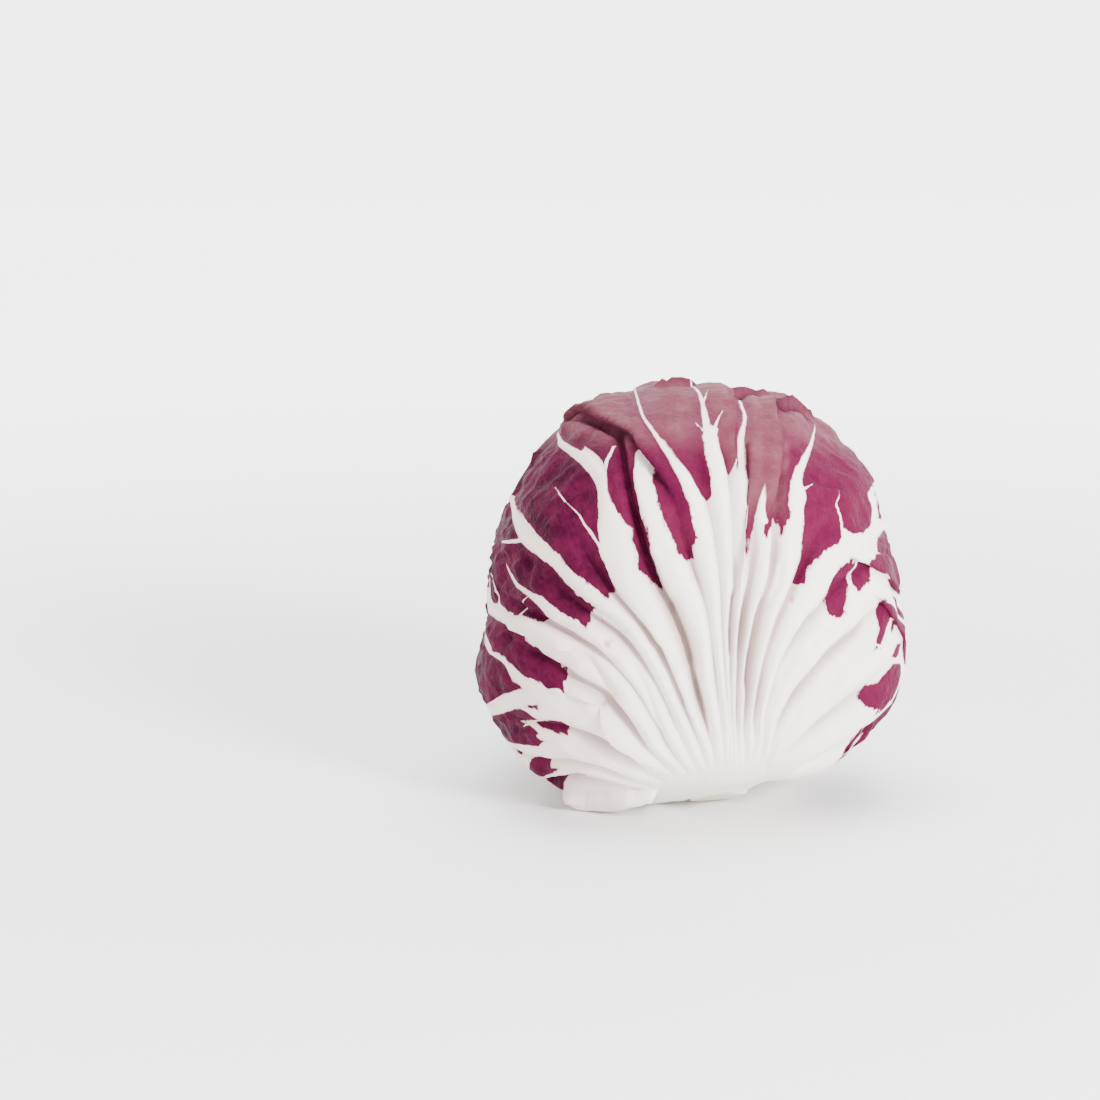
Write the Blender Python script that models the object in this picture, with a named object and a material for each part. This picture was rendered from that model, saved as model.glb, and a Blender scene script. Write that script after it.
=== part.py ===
"""A head of Chioggia radicchio: a cut stem, a tight inner head and five wrapper leaves.

The head leans back on its underside, with the cut stem low at the front (-Y).
Every leaf is a curved blade that follows the outside of the head. The leaf on top lies
on the outline itself, and each next one lies under the blades that are already there.
Leaves are drawn flat, on a chart that unrolls the round head as seen from the leaf's middle:
its places are arc lengths, across and up, and the leaf's ribs are lines on it.
"""

import math

import bpy
import numpy as np
from mathutils.kdtree import KDTree

MM = 0.001

# Driving dimensions of the whole head, in metres.
HALF_WIDTH = 65.2 * MM
HALF_DEPTH = 63.8 * MM
TOP_RISE = 64.3 * MM
UNDERSIDE_DROP = 63.2 * MM
CENTRE_HEIGHT = 61.5 * MM
ARC_RADIUS = 64.0 * MM

# How the head lies: it leans back, its stem is a little to the right, and it is drawn from slightly above.
LEAN_DEG = 22.0
STEM_ASIDE_DEG = 6.5
SIGHT_DEG = 12.0

# The outline is nearly round above and squarer below, where the head sits heavily.
TOP_POWER = 2.1
BOTTOM_POWER = 2.45
OUTLINE_POWER = 3.0
OUTLINE_EXTRA = 0.8 * MM
FLOOR_BITE = 1.0 * MM
FLOOR_SOFTNESS = 0.5 * MM

# The stem.
STEM_RADIUS = 8.6 * MM
STEM_TOP = 41.0 * MM
STEM_TAPER = 0.9
STEM_SIDES = 20
STEM_CHAMFER = 1.0 * MM
STEM_RIPPLE = 0.05
STEM_GAP = 1.1 * MM

# Layers.
LAYER_GAP = 0.9 * MM
LAMINA_BASE = 1.7 * MM
LAMINA_TOP = 0.95 * MM
RIB_BASE = 2.3 * MM
RIB_TOP = 1.2 * MM
UNDULATION = 0.6 * MM
DEEPEST = LAMINA_BASE + RIB_BASE
TAPER_LENGTH = 90.0 * MM
HEART_GAP = 2.2 * MM

# The net of directions that carries the depth of the layers.
NET_POINTS = 6000
NET_NEAR = 26
DIP_REACH = 6.5 * MM
DIP_BLUR = 3.2 * MM
FIT_ROUNDS = 12
OPEN_RISE = 4.0 * MM
LEAST_GAP = 0.45 * MM

UP = np.array((0.0, 0.0, 1.0))


def unit(v):
    v = np.asarray(v, float)
    return v / np.linalg.norm(v, axis=-1, keepdims=True)


def smooth(x, low, high):
    t = np.clip((x - low) / (high - low), 0.0, 1.0)
    return t * t * (3.0 - 2.0 * t)


def blend(low, high, share):
    return low + (high - low) * share


def stem_direction():
    lean, aside = math.radians(LEAN_DEG), math.radians(STEM_ASIDE_DEG)
    return unit((math.tan(aside), -math.sin(lean), -math.cos(lean)))


STEM = stem_direction()
FRONT = np.array((0.0, -math.cos(math.radians(SIGHT_DEG)), math.sin(math.radians(SIGHT_DEG))))

SIGHT_UP = np.cross(UP, FRONT)
SIGHT_UP = unit(np.cross(FRONT, SIGHT_UP))

# The outline seen from the front: angle from +X towards the top, radius in millimetres.
FRONT_OUTLINE = (
    (-4, 64.2), (0, 64), (17, 61.5), (31, 64.7), (42, 63.9), (55, 65.4), (65, 65.1), (80, 64.1), (90, 64),
    (104, 64.2), (116, 65.4), (126, 66.2), (132, 64.8), (140, 63.5), (152, 62.9), (163, 63.5), (176, 63.3),
    (187, 64.2), (192, 67), (201, 71), (210, 73), (218, 74.4), (229, 75.7), (237, 74.5), (244, 72.9),
    (251, 70.6), (259, 66.5), (270, 63), (285, 61.8), (291, 61.8), (297, 64.5), (306, 67.6), (316, 69),
    (325, 71), (330, 72), (336, 70), (341, 69), (347, 67.2), (356, 64.4))

# Where the outline swells or draws in: direction, share of the radius, spread in degrees.
SWELLINGS = (
    (unit((-0.35, -0.55, -0.75)), -0.060, 14.0),
    (unit((0.0, 0.10, -1.0)), 0.045, 20.0),
    (STEM, -0.030, 11.0),
)


def rounded(directions):
    """The plain round form of the head, squarer below."""
    x, y, z = np.abs(directions).T
    power = blend(TOP_POWER, BOTTOM_POWER, smooth(-directions[:, 2], -0.15, 0.45))
    half_height = np.where(directions[:, 2] > 0, TOP_RISE, UNDERSIDE_DROP)
    total = (x / HALF_WIDTH) ** power + (y / HALF_DEPTH) ** power + (z / half_height) ** power
    return total ** (-1.0 / power)


def envelope(directions):
    """Distance from the head's centre to its outside, along unit directions."""
    radius = rounded(directions)
    across, up = directions[:, 0], directions @ SIGHT_UP
    turn = np.arctan2(up, across)
    rim = rounded(np.cos(turn)[:, None] * np.array((1.0, 0.0, 0.0)) + np.sin(turn)[:, None] * SIGHT_UP)
    angles, radii = np.array(FRONT_OUTLINE).T
    drawn = np.interp(np.degrees(turn) % 360.0, angles, radii) * MM + OUTLINE_EXTRA
    radius = radius * (1.0 + (drawn / rim - 1.0) * np.hypot(across, up) ** OUTLINE_POWER)
    for towards, share, spread in SWELLINGS:
        away = np.degrees(np.arccos(np.clip(directions @ towards, -1.0, 1.0)))
        radius = radius * (1.0 + share * np.exp(-0.5 * (away / spread) ** 2))
    floor = (CENTRE_HEIGHT + FLOOR_BITE) / np.maximum(-directions[:, 2], 0.05)
    soft = FLOOR_SOFTNESS
    return -soft * np.logaddexp(-radius / soft, -floor / soft)


class Chart:
    """The round head unrolled about one direction: (across, up) arc lengths to directions."""

    def __init__(self, middle, up):
        self.middle = unit(middle)
        self.up = unit(up - self.middle * np.dot(up, self.middle))
        self.right = np.cross(self.up, self.middle)

    def directions(self, flat):
        reach = np.maximum(np.hypot(flat[:, 0], flat[:, 1]), 1e-9)[:, None]
        angle = reach / ARC_RADIUS
        aside = (flat[:, :1] * self.right + flat[:, 1:] * self.up) / reach
        return np.cos(angle) * self.middle + np.sin(angle) * aside

    def flat(self, directions):
        angle = np.arccos(np.clip(directions @ self.middle, -1.0, 1.0))
        across, up = directions @ self.right, directions @ self.up
        length = np.maximum(np.hypot(across, up), 1e-9)
        return np.stack((across, up), 1) * (angle * ARC_RADIUS / length)[:, None]


# On the front drawing, points past this share of the outline carry on round the side of the head.
RIM_SHARE = 0.94
RIM_ARC = 1.4 * ARC_RADIUS


def from_drawing(chart, drawn):
    """Chart places of points drawn on the front elevation, (across, up) from the head's centre."""
    drawn = np.asarray(drawn, float)
    reach = np.maximum(np.hypot(drawn[:, 0], drawn[:, 1]), 1e-9)[:, None]
    rim = envelope(chart.directions(drawn / reach * RIM_ARC))[:, None]
    share = reach / rim
    beyond = (share - RIM_SHARE) / math.sqrt(1.0 - RIM_SHARE**2)
    angle = np.arcsin(np.minimum(share, RIM_SHARE)) + np.maximum(beyond, 0.0)
    return drawn / reach * angle * ARC_RADIUS


class Depth:
    """How far out the next blade may lie, kept on a net of directions all round the head."""

    def __init__(self):
        turn = math.pi * (3.0 - math.sqrt(5.0))
        i = np.arange(NET_POINTS)
        z = 1.0 - (2.0 * i + 1.0) / NET_POINTS
        ring = np.sqrt(1.0 - z * z)
        self.points = np.stack((ring * np.cos(i * turn), ring * np.sin(i * turn), z), 1)
        self.outline = envelope(self.points)
        self.limit = self.outline.copy()
        self.tree = KDTree(NET_POINTS)
        for k, p in enumerate(self.points):
            self.tree.insert(p, k)
        self.tree.balance()
        self.near, self.away = self._nearest(self.points, NET_NEAR)

    def _nearest(self, directions, count):
        index = np.empty((len(directions), count), int)
        away = np.empty((len(directions), count))
        for row, d in enumerate(directions):
            for col, (_, k, distance) in enumerate(self.tree.find_n(d, count)):
                index[row, col] = k
                away[row, col] = distance * ARC_RADIUS
        return index, away

    def settle(self):
        """The limit let down near every edge that lies over it, and smoothed."""
        close = np.where(self.away <= DIP_REACH, self.limit[self.near], np.inf)
        low = close.min(1)
        weight = np.exp(-0.5 * (self.away / DIP_BLUR) ** 2)
        return (low[self.near] * weight).sum(1) / weight.sum(1)

    def read(self, values, directions):
        index, away = self._nearest(directions, 8)
        weight = np.exp(-0.5 * (away / (0.7 * DIP_BLUR)) ** 2)
        return (values[index] * weight).sum(1) / weight.sum(1)

    def cover(self, points, faces):
        """Takes the space outside a blade's inner face away from what comes next."""
        samples, _ = face_samples(points, faces, 6)
        offset = samples - CENTRE
        radius = np.linalg.norm(offset, axis=1)
        for d, r in zip(offset / radius[:, None], radius):
            _, k, _ = self.tree.find(d)
            self.limit[k] = min(self.limit[k], r)

    def fit(self, directions, outer, faces, gap):
        """Lets the corners of an outer face down until its flat triangles clear what lies over them."""
        drop = np.zeros(len(outer))
        covered = self.limit < self.outline - 0.05 * MM
        allowed = np.where(covered, self.limit - gap, self.outline + OPEN_RISE)
        for _ in range(FIT_ROUNDS):
            points = in_place(directions, outer - drop)
            samples, shares = face_samples(points, faces, 4)
            offset = samples - CENTRE
            radius = np.linalg.norm(offset, axis=1)
            index, _ = self._nearest(offset / radius[:, None], 4)
            over = radius - allowed[index].min(1)
            if over.max() <= 0.0:
                break
            over = np.maximum(over, 0.0).reshape(-1, len(faces))
            for corner in range(3):
                need = (over * (shares[:, corner] > 0.2)[:, None]).max(0)
                np.maximum.at(drop, faces[:, corner], drop[faces[:, corner]] + 0.7 * need)
        return drop


def face_samples(points, faces, parts):
    """Points spread evenly over triangles, and their shares of the three corners."""
    shares = np.array([(i, j, parts - i - j) for i in range(parts + 1) for j in range(parts + 1 - i)]) / parts
    corners = points[faces]
    return np.einsum("sk,fkd->sfd", shares, corners).reshape(-1, 3), shares


def waves(x, seed, lengths, sizes):
    """A smooth random line: sine waves of those lengths and sizes, at seeded phases."""
    rng = np.random.default_rng(seed)
    total = np.zeros_like(x)
    for length, size in zip(lengths, sizes):
        total += size * np.sin(2.0 * math.pi * (x / length + rng.random()))
    return total


def mm(*rows):
    return np.array(rows, float) * MM


# The front leaf's main ribs on the front elevation, from the lower left over the top to the lower right.
# Each point is across, up and the rib's half width, in millimetres.
FRONT_RIBS = (
    mm((-9, -65.5, 0.4), (-24.8, -68.4, 0.4), (-38.7, -67.4, 0.4), (-51.6, -61.5, 0.4), (-60.3, -54.3, 0.4)),
    mm((-12.7, -60.4, 3), (-21.8, -60.3, 4), (-30.9, -60.6, 4.5), (-38, -59.5, 3)),
    mm((-15.8, -58.5, 3), (-30, -54.8, 3), (-40, -54.8, 2), (-46, -57, 1.5)),
    mm((-5.5, -58.2, 3), (-19.4, -54.3, 3.5), (-28.5, -51.3, 3.5), (-42.4, -47.6, 2.2), (-56, -47, 1.3)),
    mm((-3.6, -56, 3), (-15.8, -49, 4), (-28.5, -41.5, 5), (-44.5, -32.5, 3.5), (-51.8, -26.7, 2),
       (-57, -20.3, 1.4), (-61.5, -17.9, 0.9), (-64, -13, 0.6)),
    mm((-7.6, -48.5, 3), (-17.9, -37.9, 4), (-26.4, -29.4, 4), (-33.3, -22.4, 3.5), (-40.6, -16.4, 3),
       (-48.5, -10.9, 2.5), (-55.1, -8.2, 2), (-60.9, -5.2, 1.2), (-64, 1.5, 0.8)),
    mm((-6.7, -43.9, 3), (-17.3, -31.2, 3.5), (-27.9, -19.7, 3.5), (-35.5, -12.1, 2.6), (-41.8, -5.5, 1.6),
       (-49.4, 0.3, 0.9), (-52.4, 2.4, 0.6), (-55.4, 7, 0.4)),
    mm((-3.6, -37.9, 3), (-11.6, -25.8, 3), (-20.3, -12.7, 3), (-28.5, -3.3, 3), (-38.8, 7, 2),
       (-49.7, 15.2, 1.6), (-54.5, 25.1, 1.2), (-56, 28.8, 1)),
    mm((2.4, -43.9, 3), (-4.8, -30, 3.5), (-12.1, -18.2, 4), (-18.5, -7.3, 4.5), (-22.1, 3.6, 4.5),
       (-24.8, 13.6, 4), (-26.7, 23.3, 2.2), (-27.3, 30.3, 1.8), (-30, 34.8, 2), (-35.1, 40, 2),
       (-40, 43.6, 1.6), (-42.1, 48.8, 0.6)),
    mm((2.4, -27.3, 3), (1.0, -15.2, 3.5), (-1.6, -4.5, 4), (-6.7, 5.5, 4), (-12.1, 14.5, 3),
       (-14.8, 25.5, 2.4), (-17, 34.8, 1.8), (-17.9, 41.8, 1)),
    mm((5.2, -15.2, 2.5), (3.4, 3, 3), (0.5, 18.2, 2.6), (-2.1, 25.8, 1.4), (-8.8, 38.2, 1.1),
       (-16, 51.2, 0.8), (-17.9, 61.2, 0.5)),
    mm((7.6, -33.3, 3.5), (7.6, -15.2, 3.5), (7.6, 3, 3.5), (7.1, 18.2, 4), (5.8, 30.6, 2.8),
       (4.5, 37, 2.2), (2.4, 47, 1.9), (1.8, 55.1, 0.8), (-0.6, 65, 0.4)),
    mm((8.9, -39.4, 3), (10, -18.2, 3), (11.2, 0, 2.4), (12.1, 15.2, 1.6), (11.9, 33.3, 1.4),
       (12.4, 43.6, 1.2), (14.5, 52.1, 0.9), (12.4, 60, 0.4)),
    mm((10.9, -39.4, 3), (13, -21.2, 3.5), (15.5, -6, 4), (17, 6, 4.5), (17.6, 15.2, 3.4),
       (16.6, 23.6, 1.8), (18.5, 30.3, 0.4), (20, 60, 0.2)),
    mm((13.6, -37.9, 3), (17.6, -22.7, 3), (21.2, -7.6, 3), (23, 3, 3), (25.5, 21.2, 2.5),
       (28.5, 33.9, 2.1), (33.9, 43, 0.9), (37, 50, 0.3)),
    mm((16.7, -34.8, 3), (23, -19.7, 3.5), (28.2, -6, 4), (32.4, 3, 4), (37.3, 9, 3.5), (46.4, 15.2, 3),
       (54.2, 18.5, 2.6), (59, 20, 1.6)),
    mm((19.7, -36.4, 4), (29.7, -22.7, 5), (37.3, -12.1, 5), (43.6, -4.2, 4.5), (48.5, 0.9, 3.5),
       (52.7, 3.6, 2.6), (60.9, -0.6, 1.4)),
    mm((22.1, -41.8, 4.5), (33.3, -32.4, 5), (45.1, -23.3, 5), (52.4, -17.3, 4), (60.9, -9.1, 2)),
    mm((24.2, -49.5, 4.5), (38.2, -43.5, 5), (49.7, -37.4, 4), (56.7, -31.3, 2.5), (61.5, -24.8, 1.5)),
    mm((25.1, -54.6, 3.5), (37.3, -52.4, 4), (47.9, -47.6, 4), (57, -42, 2.5)),
)
# Side ribs that leave a main one.
FRONT_BRANCHES = (
    mm((-43.6, -31.8, 3), (-50.6, -30.6, 2), (-56.7, -31.5, 1.8), (-62.5, -35.1, 1.4)),
    mm((-44.2, 11.8, 1.2), (-53.6, 14.2, 0.8), (-57, 14.5, 0.5)),
    mm((-27.3, 31, 1.2), (-26, 40, 0.7), (-23.6, 46.4, 0.4)),
    mm((19, 8, 2), (20.6, 15.2, 1.4), (21.1, 20.6, 0.4)),
    mm((41.2, 14, 1), (40.9, 21.2, 0.5), (41.2, 30.3, 0.4)),
    mm((54.8, 18.8, 1.5), (55.5, 23.6, 1.5), (52.8, 27.8, 1.4), (56.5, 33, 1)),
    mm((43.6, -6.7, 1), (43.3, 3.9, 0.5), (46.4, 8.5, 0.4)),
)
# How far the front leaf reaches round the head from its middle: drawing angle and degrees of arc.
FRONT_REACH = ((-110, 82), (-90, 80), (-60, 84), (-35, 90), (0, 92), (30, 93), (55, 89), (72, 92), (90, 97),
               (125, 106), (160, 112), (180, 114), (215, 108), (235, 98), (250, 84))
FRONT_BASE = mm((7.6, -60.2))[0]


def polar(flat, base):
    """Angle from straight up and distance of chart places seen from a leaf's base."""
    across, up = (flat - base).T
    return np.arctan2(across, up), np.hypot(across, up)


# The rolled lip at the lower left stands out along this line. Across, up, half width; then its rise.
LIP_LINE = mm((-14, -61.5, 3), (-23, -62.5, 6), (-33, -62.5, 6.5), (-42, -60, 5), (-49, -57, 3))
LIP_RISE = 3.2 * MM


class Leaf:
    """A blade on the chart: ribs that fan out from the base, and a margin that ends them."""

    def __init__(self, name, chart, base, ribs, branches, reach, layer, base_spread_deg=74.0,
                 wave=1.0, flare=1.5 * MM, seed=1, lips=()):
        self.name = name
        self.chart = chart
        self.base = base
        self.ribs = [np.asarray(r) for r in ribs]
        self.branches = [np.asarray(b) for b in branches]
        self.lips = lips
        self.layer = layer
        self.wave = wave
        self.flare = flare
        self.seed = seed
        self.count = len(self.ribs)
        self.start = STEM_RADIUS * 0.8
        self.far = 215.0 * MM
        self.steps = np.linspace(self.start, self.far, 200)
        self.angles = self._rib_angles(math.radians(base_spread_deg))
        self.reach = np.radians(np.array(reach, float))
        self.places, self.length = self._margin()

    def _rib_angles(self, spread):
        """The angle of every rib at every distance from the base, kept in order."""
        fan = np.linspace(-spread, spread, self.count)
        own = np.array([polar(rib[:1, :2], self.base)[0][0] for rib in self.ribs])
        fan = blend(fan, own, 0.6)
        table = np.empty((self.count, len(self.steps)))
        for i, rib in enumerate(self.ribs):
            angle, distance = polar(rib[:, :2], self.base)
            distance = np.maximum.accumulate(distance + np.arange(len(distance)) * 1e-6)
            distance = np.concatenate(([self.start], distance))
            angle = np.concatenate(([fan[i]], angle))
            table[i] = np.interp(self.steps, distance, angle)
        for _ in range(12):
            table[:, 1:-1] = (table[:, :-2] + 2.0 * table[:, 1:-1] + table[:, 2:]) / 4.0
        least = 1.0 * MM / self.steps
        for i in range(1, self.count):
            table[i] = np.maximum(table[i], table[i - 1] + least)
        return table

    def angle_at(self, place, distance):
        """Angle at a place across the leaf (a whole number on each rib), at that distance."""
        low = np.clip(np.floor(place).astype(int), 0, self.count - 2)
        share = place - low
        step = np.clip((distance - self.start) / (self.steps[1] - self.steps[0]), 0, len(self.steps) - 1.001)
        i = step.astype(int)
        f = step - i
        left = blend(self.angles[low, i], self.angles[low, i + 1], f)
        right = blend(self.angles[low + 1, i], self.angles[low + 1, i + 1], f)
        return blend(left, right, share)

    def flat_at(self, place, distance):
        angle = self.angle_at(place, distance)
        return self.base + np.stack((np.sin(angle), np.cos(angle)), 1) * distance[:, None]

    def _margin(self):
        """Distance from the base to the margin, along the leaf's whole width."""
        places = np.linspace(0.0, self.count - 1.0, 160)
        length = np.empty_like(places)
        for k, place in enumerate(places):
            flat = self.flat_at(np.full(len(self.steps), place), self.steps)
            turn = np.arctan2(flat[:, 1], flat[:, 0])
            turn = np.where(turn < self.reach[0, 0], turn + 2.0 * math.pi, turn)
            limit = np.interp(turn, self.reach[:, 0], self.reach[:, 1]) * ARC_RADIUS
            outside = (np.hypot(*flat.T) > limit) & (self.steps > 30.0 * MM)
            length[k] = self.steps[np.argmax(outside)] if outside.any() else self.far
        for _ in range(3):
            length[1:-1] = (length[:-2] + 2.0 * length[1:-1] + length[2:]) / 4.0
        length += self.wave * waves(places, self.seed, (4.1, 1.9, 1.1), (2.2 * MM, 1.5 * MM, 0.8 * MM))
        return places, length

    def distance_at(self, place, share):
        return blend(self.start, np.interp(place, self.places, self.length), share)


def ridge(flat, lines):
    """Height share of the rib over each chart place: 1 on the crest of a thick rib."""
    height = np.zeros(len(flat))
    for line in lines:
        for a, b in zip(line[:-1], line[1:]):
            along = b[:2] - a[:2]
            t = np.clip(((flat - a[:2]) @ along) / max(along @ along, 1e-12), 0.0, 1.0)
            away = np.hypot(*(flat - a[:2] - t[:, None] * along).T)
            half = blend(a[2], b[2], t)
            crest = smooth(half, 0.0, 3.0 * MM) ** 0.7
            dome = np.sqrt(np.clip(1.0 - (away / (1.25 * half + 0.3 * MM)) ** 2, 0.0, 1.0))
            height = np.maximum(height, crest * dome)
    return height


def undulation(flat, seed):
    """The slow rise and fall of a blade between its ribs."""
    rng = np.random.default_rng(seed + 40)
    total = np.zeros(len(flat))
    for _ in range(6):
        turn = rng.uniform(0.0, 2.0 * math.pi)
        length = rng.uniform(15.0, 32.0) * MM
        across = flat @ np.array((math.cos(turn), math.sin(turn)))
        total += np.sin(2.0 * math.pi * (across / length + rng.random()))
    return total / 3.0


def blade(leaf, depth, settled, place, share):
    """Directions and the outer and inner radius of the leaf at places across and shares of its length."""
    distance = leaf.distance_at(place, share)
    flat = leaf.flat_at(place, distance)
    directions = leaf.chart.directions(flat)
    from_stem = np.arccos(np.clip(directions @ STEM, -1.0, 1.0))
    top = depth.read(settled, directions)
    clear = np.arcsin(np.clip((STEM_RADIUS * (1.0 + STEM_RIPPLE) + STEM_GAP) / (top - DEEPEST), 0.0, 0.9))
    pushed = (from_stem**6 + clear**6) ** (1.0 / 6.0)
    aside = unit(directions - STEM * (directions @ STEM)[:, None])
    directions = STEM * np.cos(pushed)[:, None] + aside * np.sin(pushed)[:, None]
    top = depth.read(settled, directions)
    top = top - LAYER_GAP * smooth(envelope(directions) - top, 0.3 * MM, 1.5 * MM)
    outwards = np.maximum(np.clip(distance / TAPER_LENGTH, 0.0, 1.0), share**3)
    rib_height = blend(RIB_BASE, RIB_TOP, outwards)
    lamina = blend(LAMINA_BASE, LAMINA_TOP, outwards)
    crest = ridge(flat, leaf.ribs + leaf.branches)
    between = (2.0 * np.abs(place - np.round(place))) ** 2.5
    folds = 1.0 - between * blend(0.65, 0.0, smooth(distance, 70 * MM, 130 * MM))
    relief = np.maximum(crest * folds, 0.25 * blend(1.0, 0.4, outwards) * (1.0 - between))
    pressed = smooth(-directions[:, 2], 0.86, 0.945)
    relief = blend(relief, 1.0, pressed)
    flare = margin_flare(leaf, depth, directions, place, share)
    calm = (1.0 - pressed) * smooth(distance, 25.0 * MM, 60.0 * MM)
    flare = flare + UNDULATION * undulation(flat, leaf.seed) * calm
    if len(leaf.lips):
        flare = flare + LIP_RISE * ridge(flat, leaf.lips)
    outer = top - rib_height * (1.0 - relief) + flare
    inner = top - rib_height - lamina + flare
    return directions, outer, inner


def margin_flare(leaf, depth, directions, place, share):
    """How far the margin stands out, where no other blade lies over it."""
    free = smooth(depth.read(depth.limit - depth.outline, directions), -1.0 * MM, -0.1 * MM)
    up = smooth(directions[:, 2], -0.55, -0.2)
    lift = 0.45 + waves(place, leaf.seed + 7, (3.3, 1.7), (0.45, 0.35))
    return leaf.flare * smooth(share, 0.86, 1.0) * free * up * np.clip(lift, -0.3, 1.2)


CENTRE = np.array((0.0, 0.0, CENTRE_HEIGHT))


def in_place(directions, radius):
    points = CENTRE + directions * radius[:, None]
    points[:, 2] = np.maximum(points[:, 2], 0.0)
    return points


def leaf_columns(leaf, fine):
    """Places of the blade's columns: on each rib, at its two feet and midway to the next one."""
    steps = (0.0, 0.18, 0.5, 0.82) if fine else (0.0, 0.5)
    places = [i + s for i in range(leaf.count - 1) for s in steps]
    return np.array(places + [leaf.count - 1.0])


def add_object(name, points, faces, material):
    mesh = bpy.data.meshes.new(name)
    mesh.from_pydata([tuple(p) for p in points], [], faces)
    mesh.validate()
    mesh.materials.append(material)
    mesh.shade_smooth()
    mesh.set_sharp_from_angle(angle=math.radians(50.0))
    item = bpy.data.objects.new(name, mesh)
    bpy.context.scene.collection.objects.link(item)
    return item


def sheet_faces(columns, rows):
    """Triangles of a closed blade: its outer face, its inner face split alike, and its rim."""
    inner = columns * rows
    faces = []
    for c in range(columns - 1):
        for r in range(rows - 1):
            a, b = c * rows + r, (c + 1) * rows + r
            faces += [(a, b, b + 1), (a, b + 1, a + 1)]
            faces += [(inner + b + 1, inner + b, inner + a), (inner + a + 1, inner + b + 1, inner + a)]
    rim = [c * rows for c in range(columns)]
    rim += [(columns - 1) * rows + r for r in range(1, rows)]
    rim += [c * rows + rows - 1 for c in range(columns - 2, -1, -1)]
    rim += list(range(rows - 2, 0, -1))
    for a, b in zip(rim, rim[1:] + rim[:1]):
        faces += [(b, a, inner + a), (b, inner + a, inner + b)]
    return faces


def build_leaf(leaf, depth, rows, fine, material):
    settled = depth.settle()
    columns = leaf_columns(leaf, fine)
    shares = np.linspace(0.0, 1.0, rows)
    place, share = (grid.ravel() for grid in np.meshgrid(columns, shares, indexing="ij"))
    directions, outer, inner = blade(leaf, depth, settled, place, share)
    faces = sheet_faces(len(columns), rows)
    sheet = (len(columns) - 1) * (rows - 1)
    upper = np.array([f for f in faces[:4 * sheet] if max(f) < len(place)])
    if leaf.layer > 0:
        drop = depth.fit(directions, outer, upper, LEAST_GAP)
        outer, inner = outer - drop, inner - drop
    under = in_place(directions, inner)
    under[:, 2] = np.maximum(under[:, 2], LAMINA_TOP)
    add_object(leaf.name, np.concatenate((in_place(directions, outer), under)), faces, material)
    depth.cover(under, upper)


def fan_leaf(name, azimuth_deg, layer, length_deg, width_deg, ribs, seed, flare):
    """A leaf of the common form, whose middle is at that angle round the stem, seen from the front."""
    away = math.radians(80.0)
    turn = math.radians(azimuth_deg)
    ahead = unit(FRONT - STEM * np.dot(FRONT, STEM))
    right = np.cross(ahead, STEM)
    outwards = ahead * math.cos(turn) + right * math.sin(turn)
    middle = STEM * math.cos(away) + outwards * math.sin(away)
    chart = Chart(middle, -STEM)
    base = np.array((0.0, -away * ARC_RADIUS))
    rng = np.random.default_rng(seed)
    lines = []
    for i in range(ribs):
        side = 2.0 * i / (ribs - 1.0) - 1.0
        lean = math.radians(68.0) * side * (0.55 + 0.45 * abs(side)) + rng.uniform(-0.05, 0.05)
        bend = 0.35 * side * (1.0 - 0.4 * abs(side)) + rng.uniform(-0.08, 0.08)
        reach = (150.0 - 50.0 * abs(side)) * MM * rng.uniform(0.9, 1.05)
        thick = (4.6 - 1.6 * abs(side)) * MM
        rows = []
        for s in np.linspace(0.16, 1.0, 7):
            angle = lean + bend * (s - 0.3)
            half = thick * (1.0 - s) ** 0.9 + 0.35 * MM
            x, y = base + s * reach * np.array((math.sin(angle), math.cos(angle)))
            rows.append((x, y, half))
        lines.append(np.array(rows))
    top, side, low = length_deg, width_deg, 82.0
    reach = ((-110, low), (-90, 80.5), (-70, low), (-40, 0.5 * (low + side)), (0, side), (45, blend(side, top, 0.4)),
             (90, top), (135, blend(side, top, 0.4)), (180, side), (220, 0.5 * (low + side)), (250, low))
    return Leaf(name, chart, base, lines, (), reach, layer, flare=flare, seed=seed)


def front_leaf():
    chart = Chart(FRONT, UP)

    def lines(drawn):
        return [np.column_stack((from_drawing(chart, d[:, :2]), d[:, 2])) for d in drawn]

    base = from_drawing(chart, FRONT_BASE[None, :])[0]
    return Leaf("leaf_front", chart, base, lines(FRONT_RIBS), lines(FRONT_BRANCHES), FRONT_REACH,
                layer=0, base_spread_deg=80.0, flare=1.2 * MM, seed=3, lips=lines((LIP_LINE,)))


HEART_TURNS = 48
HEART_RINGS = 24
HEART_STEPS = 5
HEART_STEP_DEPTH = 1.6 * MM


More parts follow.
